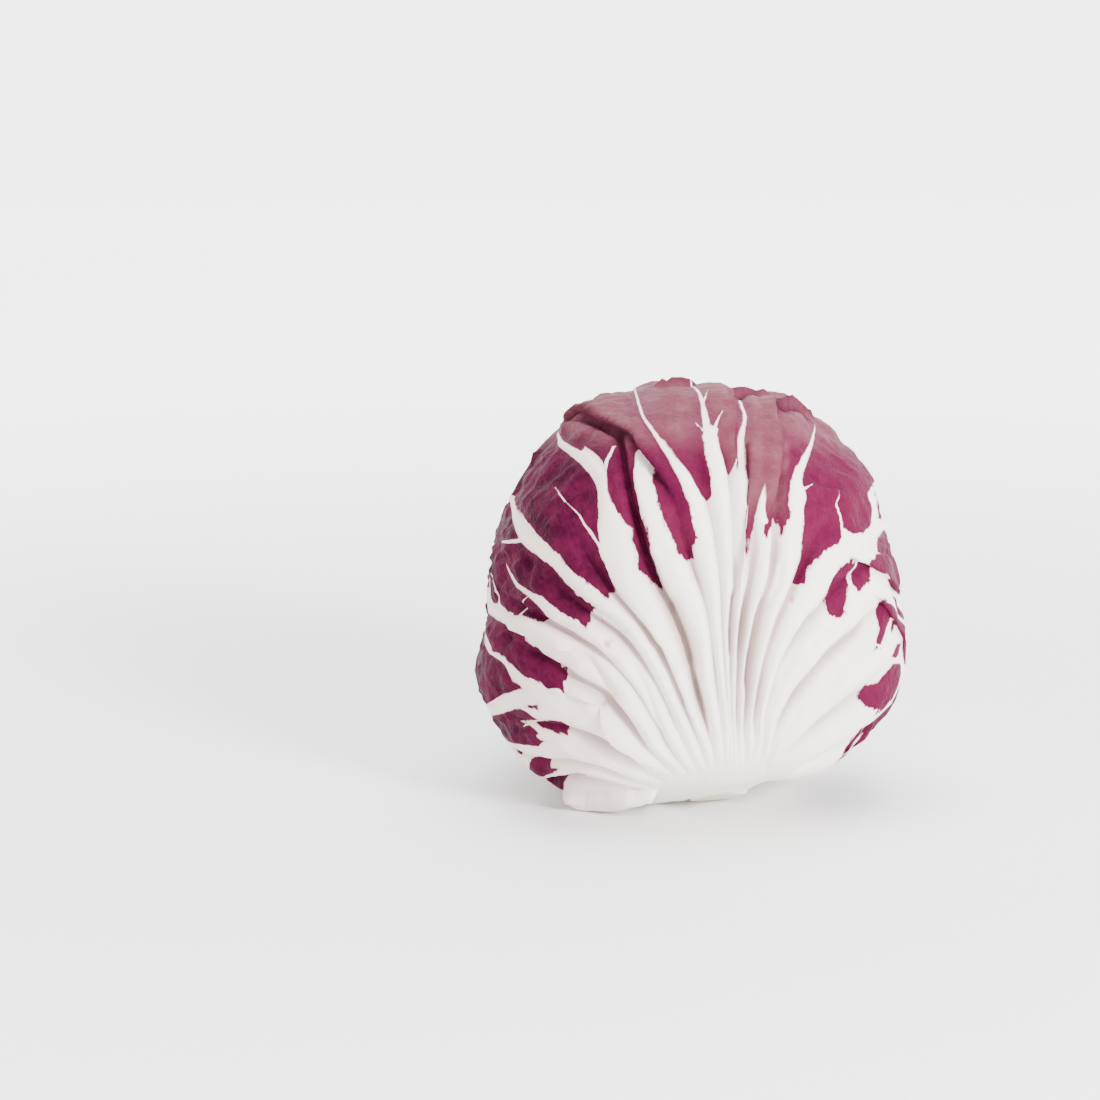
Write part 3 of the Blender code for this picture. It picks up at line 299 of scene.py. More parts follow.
# The purple between the ribs, as outlines on the front elevation.
FRONT_PURPLE = (
    mm((-79.6, 40.2), (-55.1, 29.2), (-54.1, 27.1), (-52, 24.1), (-48.7, 19.9), (-47.3, 18.5),
       (-44.5, 15.2), (-40.8, 12), (-38.5, 10.1), (-37.1, 7.4), (-33.9, 5), (-31.1, 2.7), (-29.5, 0.9),
       (-27.8, -0.2), (-26, -2.2), (-26.2, 0.2), (-24.6, 0.2), (-24.8, 1.8), (-26.5, 7.4), (-27.8, 11.5),
       (-27.8, 14.3), (-27.8, 18.5), (-27.8, 20.8), (-26.5, 23.1), (-26.5, 26.4), (-27.2, 29.2),
       (-26.7, 30.1), (-28.8, 32.8), (-32.5, 37), (-34.4, 40.3), (-33.3, 43.2), (-29.7, 40.3), (-27, 36.1),
       (-26.2, 31.9), (-25.8, 28.2), (-23.7, 23.6), (-21.4, 19.9), (-19.7, 18.6), (-19.7, 16.1),
       (-18.4, 11.5), (-17.7, 6.9), (-14.9, 3.6), (-12.1, 0.6), (-12.6, 3.6), (-13.5, 7.8), (-14.3, 11.5),
       (-14.3, 14.3), (-15.1, 17.1), (-17.2, 22.6), (-18.6, 29.1), (-19.1, 33.8), (-18.4, 38.4),
       (-17.7, 41.4), (-15.4, 38.9), (-14, 36.1), (-13.8, 32.8), (-12.1, 26.3), (-10.3, 19.9), (-7.9, 15.2),
       (-6.5, 11.5), (-3.8, 9.4), (-2.1, 10.4), (-2.8, 13.4), (-0.8, 15.2), (-2.4, 18.5), (-2.4, 22.6),
       (-4.2, 26.3), (-6.5, 32.8), (-8.9, 37.9), (-10.3, 41.6), (-9.3, 42.9), (-7.9, 40.3), (-5.6, 36.5),
       (-2.8, 32.8), (-0.1, 28.2), (0.9, 26.8), (2.3, 27.1), (3.5, 27.5), (3.2, 31), (2.3, 34.7),
       (1.6, 38.4), (1.3, 42.1), (0.9, 44.4), (3.2, 46.3), (5.5, 47.7), (5.5, 43), (6.2, 39.3), (7.8, 35.6),
       (9, 34.2), (10.1, 38.2), (10.9, 35.6), (11.4, 26.3), (12.2, 31.9), (13.1, 33.8), (13.9, 31.9),
       (12.9, 24.5), (12.2, 17.1), (11.3, 8.7), (11.8, 4.3), (13.4, 8.7), (14, 13.4), (14.3, 17.1),
       (15.7, 21.7), (18, 29.1), (18.7, 29.9), (18.5, 26.3), (17.6, 20.8), (17.2, 18.5), (18, 14.9),
       (19.8, 18.4), (21.1, 21.5), (21.6, 22.2), (22.2, 18.9), (22.8, 16), (23.6, 18.9), (25, 22.6),
       (26.4, 28.2), (27.3, 32.8), (28.2, 36.1), (31, 40.3), (31.5, 37.5), (30.5, 35.6), (29.8, 31.9),
       (30.7, 29.5), (30.1, 26.3), (29.2, 20.8), (28.7, 15.2), (27.8, 9.6), (26.8, 4.1), (27.4, 2.5),
       (29.3, 2.4), (30.6, 7.6), (31.8, 8.7), (34.9, 11.9), (39, 13.5), (41.1, 16.3), (41.5, 18.5),
       (42.2, 18), (44.4, 16.7), (46.6, 16.7), (49.8, 18.4), (52.5, 21.4), (53, 24.9), (51.4, 28.4),
       (51.9, 30.2), (54.9, 32.7), (80.4, 47.3), (79.5, 82.5), (29.1, 116), (-40.4, 116), (-77.2, 70.4)),
    mm((-79.6, 40.2), (-55.9, 26.8), (-54.1, 23.1), (-52.4, 19.9), (-51.3, 17.3), (-50, 16.1),
       (-50.2, 14.8), (-48.7, 12.4), (-46.4, 10.8), (-43.4, 10.6), (-41.3, 8.3), (-39, 5), (-37.1, 1.3),
       (-34.8, -1), (-32, -2.8), (-30.6, -4.7), (-33.2, -6.3), (-32.9, -7.9), (-34.1, -10.3), (-35.7, -9.3),
       (-37.6, -7.5), (-39.9, -5.2), (-42, -3.3), (-44.1, -1.2), (-46.9, -0.3), (-49.6, 1.3), (-51.7, 2.5),
       (-53.8, 4.8), (-55.4, 7.1), (-54.1, 3.6), (-52.4, 1.3), (-49.6, -0.1), (-47.3, -1.9), (-45.5, -3.8),
       (-44.3, -6.1), (-45, -7.9), (-46.4, -8.9), (-48.3, -7.7), (-50.1, -7), (-52.4, -6.9), (-55.2, -5.9),
       (-57.5, -4), (-58.5, -2.4), (-58.7, -3.8), (-60.8, -3.5), (-62.4, -1.7), (-63.1, 0.9), (-89.6, 1.9)),
    mm((-89.6, 1.9), (-62.9, -6.6), (-59.4, -7.9), (-56.6, -9.6), (-54.5, -11.4), (-52.7, -12.6),
       (-51.3, -14.7), (-48.9, -17), (-47.6, -19.5), (-45.2, -22.6), (-42.9, -25.3), (-41.7, -27),
       (-42.5, -28.6), (-41.5, -31.2), (-43.4, -30.9), (-45.7, -29.1), (-48.7, -26.5), (-51.5, -25.3),
       (-53.8, -23.9), (-55.7, -21.9), (-56.8, -19.5), (-58.5, -18.2), (-60.3, -17.9), (-61, -15.8),
       (-61.9, -13.5), (-63.3, -11.9), (-65.2, -11.4), (-92.4, -16.6)),
    mm((-92.4, -16.6), (-65, -13), (-63.6, -12.8), (-62.2, -15.4), (-61.7, -18.6), (-58.9, -19.5),
       (-57.1, -21.4), (-56.1, -24.2), (-55.2, -26.5), (-52.4, -28.8), (-55.2, -29.7), (-58, -31.6),
       (-59.8, -34.4), (-61.7, -34.5), (-86.7, -49.4)),
    mm((-86.7, -49.4), (-56.4, -36.1), (-54.5, -35.1), (-53, -35.1), (-50.8, -36.7), (-49.5, -38.2),
       (-48.3, -39.1), (-50.1, -39.4), (-53.5, -39.3), (-51.2, -40.3), (-49.3, -41.7), (-48.1, -42.7),
       (-48.5, -43.6), (-46, -45.2), (-47, -46), (-53.5, -46.5), (-56.4, -46.5), (-79.8, -66.2)),
    mm((-49.5, -39.8), (-46.6, -39.4), (-43.9, -39.1), (-41.9, -39.8), (-41, -40.9), (-40.8, -42.7),
       (-39.9, -44.7), (-41.4, -43.9), (-43.1, -43.2), (-45, -42.6), (-47.2, -41.5), (-48.7, -40.5)),
    mm((-51.8, -34.6), (-49.9, -33.8), (-47.7, -33.6), (-48.1, -35.5), (-50.1, -34.9)),
    mm((-50.3, -51.8), (-48.5, -50.6), (-47, -50.3), (-45, -51), (-45, -52.7), (-43.9, -53.7),
       (-41.4, -53.7), (-42.9, -54.6), (-45.2, -55.6), (-46.6, -57), (-48.5, -56), (-50.1, -55)),
    mm((-56.2, -47.9), (-53.9, -48.3), (-53.2, -50.8), (-54.7, -50.4), (-56.6, -48.9)),
    mm((-46.6, -57.8), (-44.7, -57), (-41.6, -55.5), (-36.5, -55), (-33.1, -55), (-32.9, -57),
       (-36.5, -56.8), (-38.9, -57.5), (-40.4, -58.9), (-39, -61), (-39.2, -62.4), (-42.7, -62),
       (-46.6, -59.7)),
    mm((-21.8, -64.5), (-19.5, -63), (-17.2, -61.7), (-14.1, -63.7), (-14.1, -66.2), (-21.8, -66.2)),
    mm((53.1, 28.1), (55.8, 29.8), (61.7, 29.2), (61.7, 22.7), (55.5, 22.2), (54.4, 26.5)),
    mm((58.5, 18.4), (55.8, 16.8), (53.6, 15.3), (52.3, 13), (53.4, 11.1), (50.9, 10.7), (50.3, 9.3),
       (47.7, 8.7), (52, 5.7), (54.7, 5.7), (56.9, 2.7), (59.6, 0.5), (63.3, -1.1), (93.2, -3),
       (84.9, 27.3)),
    mm((42, 8.5), (44.7, 8.7), (43.1, 5.4), (42.7, 0.5), (42.5, -6), (41.4, -7.8), (39.3, -6.8),
       (37.8, -6.5), (37, -3.2), (37.1, 2.2), (37.9, 4.9), (39.8, 7)),
    mm((44.4, 8.1), (47.7, 8.4), (50.1, 7.3), (49.8, 4.3), (47.7, 2.2), (45.2, 0), (44.1, 2.2),
       (43.6, 5.4)),
    mm((54.1, -3.5), (56.6, -4.3), (57.9, -7.8), (56.3, -9.7), (55.2, -13), (54.1, -16.2), (52.5, -17),
       (53.1, -14.1), (53.9, -10.8), (53.6, -6.5)),
    mm((53.1, -1.5), (57.4, -3.8), (59.6, -6.5), (61.7, -9.2), (63.9, -11.4), (91.7, -16.7), (91.7, -31.8),
       (63.9, -22.2), (62.8, -18.4), (62, -14.1), (60.1, -10.3), (57.9, -12.4), (57.4, -10.8), (58.5, -8.7),
       (56.3, -6)),
    mm((58.7, -1.4), (60.1, -1.9), (63.3, -6.5), (63.9, -9.2), (61.7, -7.8), (59.8, -4.9)),
    mm((57.9, -19.5), (60.1, -15.7), (62, -15.7), (60.9, -18.9), (59.6, -19.8)),
    mm((47.9, -31.7), (50.9, -28.7), (54.1, -27.1), (56.3, -24.4), (58.5, -21.6), (61.2, -21.6),
       (61.7, -24.9), (60.6, -27.6), (58.5, -31.4), (56.9, -32.5), (54.1, -35.2), (51.7, -36),
       (52.5, -34.1), (50.9, -34.1), (49.3, -33.8)),
    mm((62.3, -26.5), (63.3, -30.3), (78, -36.4), (76.7, -42.9), (60.6, -35.7), (61.2, -31.9)),
    mm((57.9, -40.6), (57.4, -37.3), (58.5, -34.1), (59.3, -36.8), (60.6, -40.6)),
)
# Where pink flecks lie on the white.
FRONT_FLECKS = mm((-29.2, -16.0), (-30.6, -9.0), (26.8, -2.0))
# Where the leaf behind shows purple past the front leaf's edge, low on the right.
BEHIND_PURPLE = mm(
    (33, -57), (39.8, -53), (47.3, -47.4), (54.7, -40), (59.3, -33.5), (62, -27), (70.5, -30), (68.5, -46),
    (59, -58), (40, -66))
# How deep the crease is between each two ribs, in millimetres.
FRONT_CREASES = (
    0.3, 2.4, 1.6, 1.6, 1.8, 2.2, 2.2, 2.6, 3.2, 1.3, 0.8, 2.0, 2.8, 2.8, 1.9, 1.3, 1.3, 1.2, 0.9)
# Side ribs that leave a main one.
FRONT_BRANCHES = (
    mm((-43.6, -31.8, 2.6), (-50.6, -30.6, 1.6), (-56.7, -31.5, 1.4), (-62.5, -35.1, 1.0)),
    mm((-44.2, 11.8, 1.1), (-50, 14.8, 0.8), (-53.6, 14.2, 0.6), (-57, 14.5, 0.4)),
    mm((-27.3, 31, 1.1), (-26.6, 38, 0.6), (-24.9, 43, 0.3)),
    mm((19, 8, 2), (20.6, 15.2, 1.3), (21.1, 20.6, 0.3)),
    mm((41.2, 14, 0.9), (40.9, 21.2, 0.45), (40.3, 25.5, 0.4), (41.2, 30.3, 0.25)),
    mm((54.8, 18.8, 1.4), (55.5, 23.6, 1.3), (53.9, 26.7, 1.2), (52.1, 28.2, 0.8)),
    mm((53.9, 26.7, 1.0), (55.2, 30, 0.9), (57.2, 33, 0.7)),
    mm((43.6, -6.7, 0.9), (43.3, 0, 0.5), (43.3, 3.9, 0.45), (46.4, 8.5, 0.35)),
    mm((-58.3, -6, 0.8), (-58, -1.8, 0.35), (-60.3, 5.6, 0.25)),
    mm((4.2, 42, 0.8), (0.6, 47.3, 0.35), (-2.4, 50.9, 0.15)),
    mm((3.4, 43, 0.8), (5.5, 49, 0.4), (7.6, 52.4, 0.15)),
    mm((2.0, 55, 0.5), (3.9, 59.7, 0.15)),
    mm((6.5, 28, 1.0), (8.5, 32.7, 0.6), (10.3, 37.6, 0.2)),
    mm((28.2, 28, 0.9), (31.2, 30.3, 0.4), (33, 31.2, 0.15)),
    mm((-52.5, -8.8, 0.8), (-50.5, -3.5, 0.3), (-48.5, -1.5, 0.15)),
    mm((-35.5, -37, 0.9), (-45, -37.8, 0.5), (-52, -40.5, 0.3)),
    mm((-51, -47.5, 1.0), (-52, -51.5, 1.2), (-50.5, -55, 0.8), (-48, -57.5, 0.5)),
    mm((-25.5, 9, 0.8), (-27.9, 13.3, 0.5), (-33.5, 21.5, 0.48), (-39.5, 28.2, 0.42), (-41, 30, 0.3)),
)
# How far the leaf reaches round the head: degrees from +X towards the top, and degrees from the middle.
FRONT_REACH = (
    (-110, 82), (-90, 80), (-62, 79), (-53, 73), (-45, 68.5), (-36, 67.5), (-29, 69), (-22, 76), (-12, 90),
    (0, 92), (30, 93), (55, 89), (72, 92), (90, 97), (125, 106), (160, 112), (180, 114), (215, 108),
    (235, 98), (250, 84))
FRONT_BASE = mm((7.6, -60.2))[0]
# Rolls that stand out of the blade: the line with its half width, then its rise.
FRONT_ROLLS = (
    (mm((-13, -59.2, 1.3), (-19, -61.2, 2.7), (-26, -63.0, 3.6), (-32, -63.2, 3.6),
        (-36.5, -61.2, 2.6)), 4.2),
    (mm((-10, 63, 1.2), (-6, 64.5, 2.0), (-1, 65, 1.2)), 2.4),
    (mm((25.0, 57, 1.4), (30, 57.8, 2.1), (36, 55.5, 1.4)), 1.7),
    (mm((12, 62, 1.4), (17, 63, 2.1), (23, 61.5, 1.4)), 1.7),
    (mm((-57, 28, 1.0), (-54, 36, 1.5), (-49, 43, 1.0)), 1.0),
)
# Where the blade laps over itself: the line of the lap, the side that lies on top (1 is left of the line's
# run), how high it stands and how far it laps, in millimetres.
FRONT_LAPS = (
    (mm((-42.5, 51.5), (-40.9, 53.0), (-33.6, 54.2), (-28.8, 51.1), (-25.1, 49.7), (-20.6, 47.3),
        (-18.2, 45), (-17, 41.5), (-15.3, 39.1), (-12.7, 35.5), (-10.3, 31.8), (-6.5, 25)), 1, 3.6, 1.6),
    (mm((11.5, 63), (10.9, 57.3), (10.6, 51.9), (10.5, 47.9), (10.6, 43.6), (10.9, 39.1),
        (11.2, 30)), -1, 2.4, 1.2),
    (mm((14.4, 45), (14.2, 33.3), (13.6, 27.6), (13, 20.9), (11.8, 9.1), (10.9, -4)), 1, 2.2, 1.1),
    (mm((25.2, 60), (24.8, 50.9), (24.5, 46.1), (23.9, 39.1), (22.7, 33.3), (22.1, 24)), -1, 2.4, 1.3),
    (mm((40.5, 10.6), (47, 8.5), (52.3, 5.8), (55.6, 4.1), (59.8, 1.2), (64.5, -2)), 1, 2.0, 1.0),
    (mm((51, -0.5), (55.1, -3.9), (57.3, -7.5), (59.8, -10), (61.8, -13), (63.3, -20)), 1, 1.5, 0.9),
    (mm((-56, -10.5), (-49.4, -13.3), (-46.1, -14.8), (-40.6, -18.2), (-36, -22.8)), 1, 1.2, 0.7),
    (mm((-43, -30.5), (-39.2, -32.2), (-31.5, -36.1), (-30.4, -39.2), (-28.8, -41.5), (-25.3, -45),
        (-19.5, -47.3), (-12, -51)), 1, 1.9, 1.0),
)
# The dusty bloom and painted sheen on top: across, and how high up it starts there.
FRONT_BLOOM_SHEEN = mm(
    (-60, 48), (-40, 45), (-22, 41), (8, 41), (11.5, 20), (24, 20), (27, 43), (45, 42), (60, 44)).T
# Creases that run across or along the ribs: the line, its depth and its half width.
FRONT_FURROWS = (
    (mm((-24.5, 50), (-23.2, 44.5), (-22.3, 36.4), (-20.4, 27.3), (-16.4, 13.6), (-12.1, 1.8),
        (-8, -10)), 4.4, 1.1),
    (mm((-41, 51.5), (-33, 52.0), (-27, 48.6), (-22, 45.5)), 2.2, 1.2),
    (mm((12.8, 57.5), (14.2, 60.2), (17.5, 61.2), (21, 60.4)), 2.6, 1.8),
    (mm((24.6, 54.5), (28.5, 55.8), (32, 55.4), (36, 53.2)), 2.6, 1.8),
    (mm((-41.8, 3.3), (-36.8, 1.2), (-34.5, -1.1), (-31, -3.9), (-27.3, -7.7), (-22.1, -15.5)), 1.6, 0.8),
    (mm((-31.5, -56.4), (-36, -56.8), (-41, -58.0), (-47, -59.5)), 4.5, 1.9),
    (mm((44, 4), (46.5, 9), (47.5, 15)), 0.9, 1.4),
    (mm((31, 36), (36, 31), (43, 30), (49, 33)), 0.9, 0.9),
    (mm((29, 24), (34, 26), (37, 24)), 0.8, 0.9),
    (mm((50, 11), (55, 12), (60, 10)), 0.8, 0.9),
    (mm((-38, 30), (-30, 33), (-26, 32)), 0.6, 0.9),
    (mm((-10.7, -0.6), (-8.4, -8), (-4.2, -16.3), (-2.2, -23)), 2.6, 1.7),
    (mm((-15, -16), (-9.3, -25.6), (-4.5, -34)), 1.8, 1.4),
    (mm((-42, -15.5), (-36.2, -20), (-33.4, -23.7), (-26, -35)), 2.0, 1.6),
    (mm((-24, -20), (-17, -31), (-9, -43)), 1.6, 1.3),
    (mm((9.4, 2), (8.9, -10.8), (9.2, -20)), 2.2, 0.9),
    (mm((19.3, 0), (18, -8), (15.6, -18), (12.5, -30)), 2.4, 1.3),
    (mm((22.9, 9), (21.6, 2), (19.6, -6)), 1.8, 0.8),
    (mm((35, -6), (31.5, -16.3), (24, -29)), 1.7, 2.2),
    (mm((52.5, -4), (50, -16.3), (43.5, -25.6), (36, -36)), 1.9, 2.4),
    (mm((44.5, 1), (40, -9), (32, -20)), 1.3, 1.6),
    (mm((52, -40), (40, -46), (28, -52)), 1.2, 2.0),
)


def polar(flat, base):
    across, up = (flat - base).T
    return np.arctan2(across, up), np.hypot(across, up)


RIB_FAR = 215.0 * MM
RIB_STEPS = 200
LEAST_GAP = 1.0 * MM
MARGIN_FROM = 30.0 * MM
MARGIN_PLACES = 160
MARGIN_WAVES = ((4.1, 1.9, 1.1), (2.2 * MM, 1.5 * MM, 0.8 * MM))


class Leaf:
    """A blade on the chart: ribs that fan out from the base, and a margin that ends them."""

    def __init__(self, name, chart, base, ribs, branches, reach, layer, tips, creases, base_spread_deg=74.0,
                 flare=1.5 * MM, seed=1, rolls=(), purple=(), laps=(), furrows=(), flecks=()):
        self.name = name
        self.chart = chart
        self.base = base
        self.ribs = [np.asarray(r) for r in ribs]
        self.branches = [np.asarray(b) for b in branches]
        self.rolls = rolls
        self.purple = purple
        self.laps = laps
        self.flecks = flecks
        self.furrows = furrows
        self.layer = layer
        tip_angles, self.tips = polar(np.asarray(tips), base)
        self.creases = np.array(creases) * MM
        self.flare = flare
        self.seed = seed
        self.count = len(self.ribs)
        self.start = STEM_RADIUS * 0.8
        self.steps = np.linspace(self.start, RIB_FAR, RIB_STEPS)
        self.angles, self.halves = self._rib_tables(math.radians(base_spread_deg))
        gaps = np.arange(self.count - 1)
        low, high = (self.row_at(self.angles, gaps + k, self.tips) for k in (0, 1))
        self.tip_parts = np.clip((tip_angles - low) / (high - low), 0.18, 0.82)
        self.reach = np.radians(np.array(reach, float))
        self.places, self.length = self._margin()

    def _rib_tables(self, spread):
        """The angle and half width of every rib at every distance from the base, kept in order."""
        fan = np.linspace(-spread, spread, self.count)
        own = np.array([polar(rib[:1, :2], self.base)[0][0] for rib in self.ribs])
        fan = blend(fan, own, 0.6)
        table = np.empty((self.count, len(self.steps)))
        halves = np.empty_like(table)
        for i, rib in enumerate(self.ribs):
            angle, distance = polar(rib[:, :2], self.base)
            distance = np.maximum.accumulate(distance + np.arange(len(distance)) * 1e-6)
            halves[i] = np.interp(self.steps, distance, rib[:, 2])
            distance = np.concatenate(([self.start], distance))
            angle = np.concatenate(([fan[i]], angle))
            table[i] = np.interp(self.steps, distance, angle)
        for _ in range(12):
            table[:, 1:-1] = (table[:, :-2] + 2.0 * table[:, 1:-1] + table[:, 2:]) / 4.0
        least = LEAST_GAP / self.steps
        for i in range(1, self.count):
            table[i] = np.maximum(table[i], table[i - 1] + least)
        return table, halves

    def row_at(self, table, rib, distance):
        spacing = self.steps[1] - self.steps[0]
        step = np.clip((distance - self.start) / spacing, 0, len(self.steps) - 1.001)
        i = step.astype(int)
        return blend(table[rib, i], table[rib, i + 1], step - i)

    def gap_of(self, place):
        return np.clip(np.floor(place).astype(int), 0, self.count - 2)

    def angle_at(self, place, distance):
        low = self.gap_of(place)
        left, right = (self.row_at(self.angles, low + k, distance) for k in (0, 1))
        return blend(left, right, place - low)

    def flat_at(self, place, distance):
        angle = self.angle_at(place, distance)
        return self.base + np.stack((np.sin(angle), np.cos(angle)), 1) * distance[:, None]

    def _margin(self):
        places = np.linspace(0.0, self.count - 1.0, MARGIN_PLACES)
        length = np.empty_like(places)
        for k, place in enumerate(places):
            flat = self.flat_at(np.full(len(self.steps), place), self.steps)
            turn = np.arctan2(flat[:, 1], flat[:, 0])
            turn = np.where(turn < self.reach[0, 0], turn + 2.0 * math.pi, turn)
            limit = np.interp(turn, self.reach[:, 0], self.reach[:, 1]) * ARC_RADIUS
            outside = (np.hypot(*flat.T) > limit) & (self.steps > MARGIN_FROM)
            length[k] = self.steps[np.argmax(outside)] if outside.any() else RIB_FAR
        for _ in range(3):
            length[1:-1] = (length[:-2] + 2.0 * length[1:-1] + length[2:]) / 4.0
        length += waves(places, self.seed, *MARGIN_WAVES)
        return places, length

    def distance_at(self, place, share):
        return blend(self.start, np.interp(place, self.places, self.length), share)


def nearest_on(flat, line):
    """Signed distance to a line (positive left of its run), share along it, half width and normal there."""
    best = np.full(len(flat), np.inf)
    signed = np.zeros(len(flat))
    along_share = np.zeros(len(flat))
    width = np.zeros(len(flat))
    normal = np.zeros_like(flat)
    spans = np.hypot(*np.diff(line[:, :2], axis=0).T)
    ends = np.concatenate(([0.0], np.cumsum(spans)))
    for k, (a, b) in enumerate(zip(line[:-1], line[1:])):
        run = b[:2] - a[:2]
        t = np.clip(((flat - a[:2]) @ run) / max(run @ run, 1e-12), 0.0, 1.0)
        away = flat - a[:2] - t[:, None] * run
        distance = np.hypot(*away.T)
        closer = distance < best
        left = np.array((-run[1], run[0])) / max(np.hypot(*run), 1e-9)
        best = np.where(closer, distance, best)
        signed = np.where(closer, np.where(away @ left >= 0.0, distance, -distance), signed)
        along_share = np.where(closer, (ends[k] + t * spans[k]) / ends[-1], along_share)
        if line.shape[1] > 2:
            width = np.where(closer, blend(a[2], b[2], t), width)
        normal[closer] = left
    return signed, along_share, width, normal


def outside_shapes(flat, shapes):
    """How far places are outside the nearest of some closed outlines, and below nothing inside them."""
    least = np.full(len(flat), np.inf)
    x, y = flat.T
    for shape in shapes:
        closest = np.full(len(flat), np.inf)
        inside = np.zeros(len(flat), bool)
        for a, b in zip(shape, np.roll(shape, -1, axis=0)):
            run = b - a
            t = np.clip(((flat - a) @ run) / max(run @ run, 1e-12), 0.0, 1.0)
            away = flat - a - t[:, None] * run
            closest = np.minimum(closest, (away**2).sum(1))
            spans = (a[1] > y) != (b[1] > y)
            if spans.any() and run[1] != 0.0:
                inside ^= spans & (x < a[0] + (y - a[1]) * run[0] / run[1])
        distance = np.sqrt(closest)
        least = np.minimum(least, np.where(inside, -distance, distance))
    return least


def dome(away, half):
    return np.sqrt(np.clip(1.0 - (away / np.maximum(half, 1e-6)) ** 2, 0.0, 1.0))


LAP_BAND = 1.9 * MM
LAP_SWELL = 9.0 * MM
LAP_SINK = 5.0 * MM
LAP_SHADE_AT = 0.8 * MM
LAP_SHADE_HALF = 1.3 * MM


def lap_shift(leaf, flat):
    """How the laps of a blade move it, sideways on the chart and outwards, and a painted shadow just under
    each lap.
    """
    shift, rise, lap_shadow = np.zeros_like(flat), np.zeros(len(flat)), np.zeros(len(flat))
    for line, side, height, overlap in leaf.laps:
        signed, along, _, normal = nearest_on(flat, line)
        signed = signed * side
        ends = smooth(along, 0.0, 0.10) * (1.0 - smooth(along, 0.80, 1.0))
        across = signed / LAP_BAND
        inside = np.clip(1.0 - np.abs(across), 0.0, 1.0)
        swing = -np.sin(math.pi * np.clip(across, -1.0, 1.0)) * smooth(inside, 0.0, 0.35)
        shift += (side * overlap * MM * swing * ends)[:, None] * normal
        step = smooth(across, -0.55, 0.55)
        above = step * np.exp(-np.maximum(signed, 0.0) / LAP_SWELL)
        below = (1.0 - step) * np.exp(np.minimum(signed, 0.0) / LAP_SINK)
        rise += height * MM * ends * (0.62 * above - 0.38 * below)
        # Painted shadow: a darker band on the blade just under the edge of each high lap.
        shade = np.exp(-((signed + LAP_SHADE_AT) / LAP_SHADE_HALF) ** 2)
        lap_shadow = np.maximum(lap_shadow, ends * smooth(height, 1.0, 2.2) * shade)
    return shift, rise, lap_shadow


# Relief of a blade, outwards from the layer it lies on.
CORD_SHARE = 0.28
CORD_MOST = 2.6 * MM
CREASE_HALF = 1.15 * MM
RIDGE_RISE = 1.5 * MM
PUFF_RISE = 0.75 * MM
VEIN_RISE = 0.55 * MM
SWELL_RISE = 0.8 * MM
GRAIN_RISE = 0.10 * MM
FIBRE_RISES = (0.45 * MM, 0.22 * MM)
BUCKLE_RISES = (0.22 * MM, 0.85 * MM)
WRINKLE_RISES = (0.10 * MM, 0.40 * MM)
COLLAR_RISE = 0.9 * MM
VEIN_REACH = 3.0 * MM
FADE_LENGTH = 32.0 * MM
NEAR_BASE = (24.0 * MM, 62.0 * MM)
FLECK_SPREAD = 2.4 * MM
LEAST_HEIGHT = 0.05 * MM


def pattern(leaf, flat, part, wide, distance, gap, halves):
    """How deep in the white each place is (below nothing in the purple), and the dark strip behind."""
    half_left, half_right = halves
    left, right = part * wide, (1.0 - part) * wide
    if len(leaf.purple):
        thin_left, thin_right = (half - 6.0 * smooth(half, 2.0 * MM, 2.8 * MM) * MM for half in halves)
        thin = np.maximum(thin_left - left, thin_right - right)
        return np.maximum(thin, outside_shapes(flat, leaf.purple)), np.zeros(len(part))
    from_tip = np.abs(part - leaf.tip_parts[gap]) * wide
    white = np.maximum(half_left - left, half_right - right)
    white = np.maximum(white, np.minimum((leaf.tips[gap] + 1.6 * from_tip - distance) * 0.35, 3.0 * MM))
    front = Chart(FRONT, UP)
    seen = front.flat(leaf.chart.directions(flat))
    outside = outside_shapes(seen, [from_drawing(front, BEHIND_PURPLE)])
    slim = np.maximum(0.12 * half_left - left, 0.12 * half_right - right)
    return np.minimum(white, np.maximum(outside, slim)), smooth(-outside, -3.0 * MM, 2.0 * MM)


def round_the_stem(directions):
    """Directions kept clear of the stem, and how far from it they were."""
    from_stem = np.arccos(np.clip(directions @ STEM, -1.0, 1.0))
    clear = math.asin((STEM_RADIUS - 0.3 * MM) / (60.0 * MM))
    pushed = (from_stem**6 + clear**6) ** (1.0 / 6.0)
    sideways = unit(directions - STEM * (directions @ STEM)[:, None])
    return STEM * np.cos(pushed)[:, None] + sideways * np.sin(pushed)[:, None], from_stem


def side_veins(leaf, flat, white):
    """The closest side rib of each place: distance to its line, its half width there, and its rise."""
    off = np.full(len(flat), VEIN_REACH)
    half_there = np.full(len(flat), -VEIN_REACH)
    closest = np.full(len(flat), np.inf)
    rise = np.zeros(len(flat))
    outside_white = 1.0 - smooth(white, -0.2 * MM, 0.6 * MM)
    for line in leaf.branches:
        signed, _, half, _ = nearest_on(flat, line)
        away = np.abs(signed)
        closer = away - half < closest
        closest = np.where(closer, away - half, closest)
        off = np.where(closer, np.clip(signed, -VEIN_REACH, VEIN_REACH), off)
        half_there = np.where(closer, half - 1.5 * np.maximum(away - 0.9 * MM - half, 0.0), half_there)
        crown = smooth(half, 0.0, 1.2 * MM) * dome(signed, 1.3 * half + 0.4 * MM)
        rise += VEIN_RISE * crown * outside_white
    return off, half_there, rise


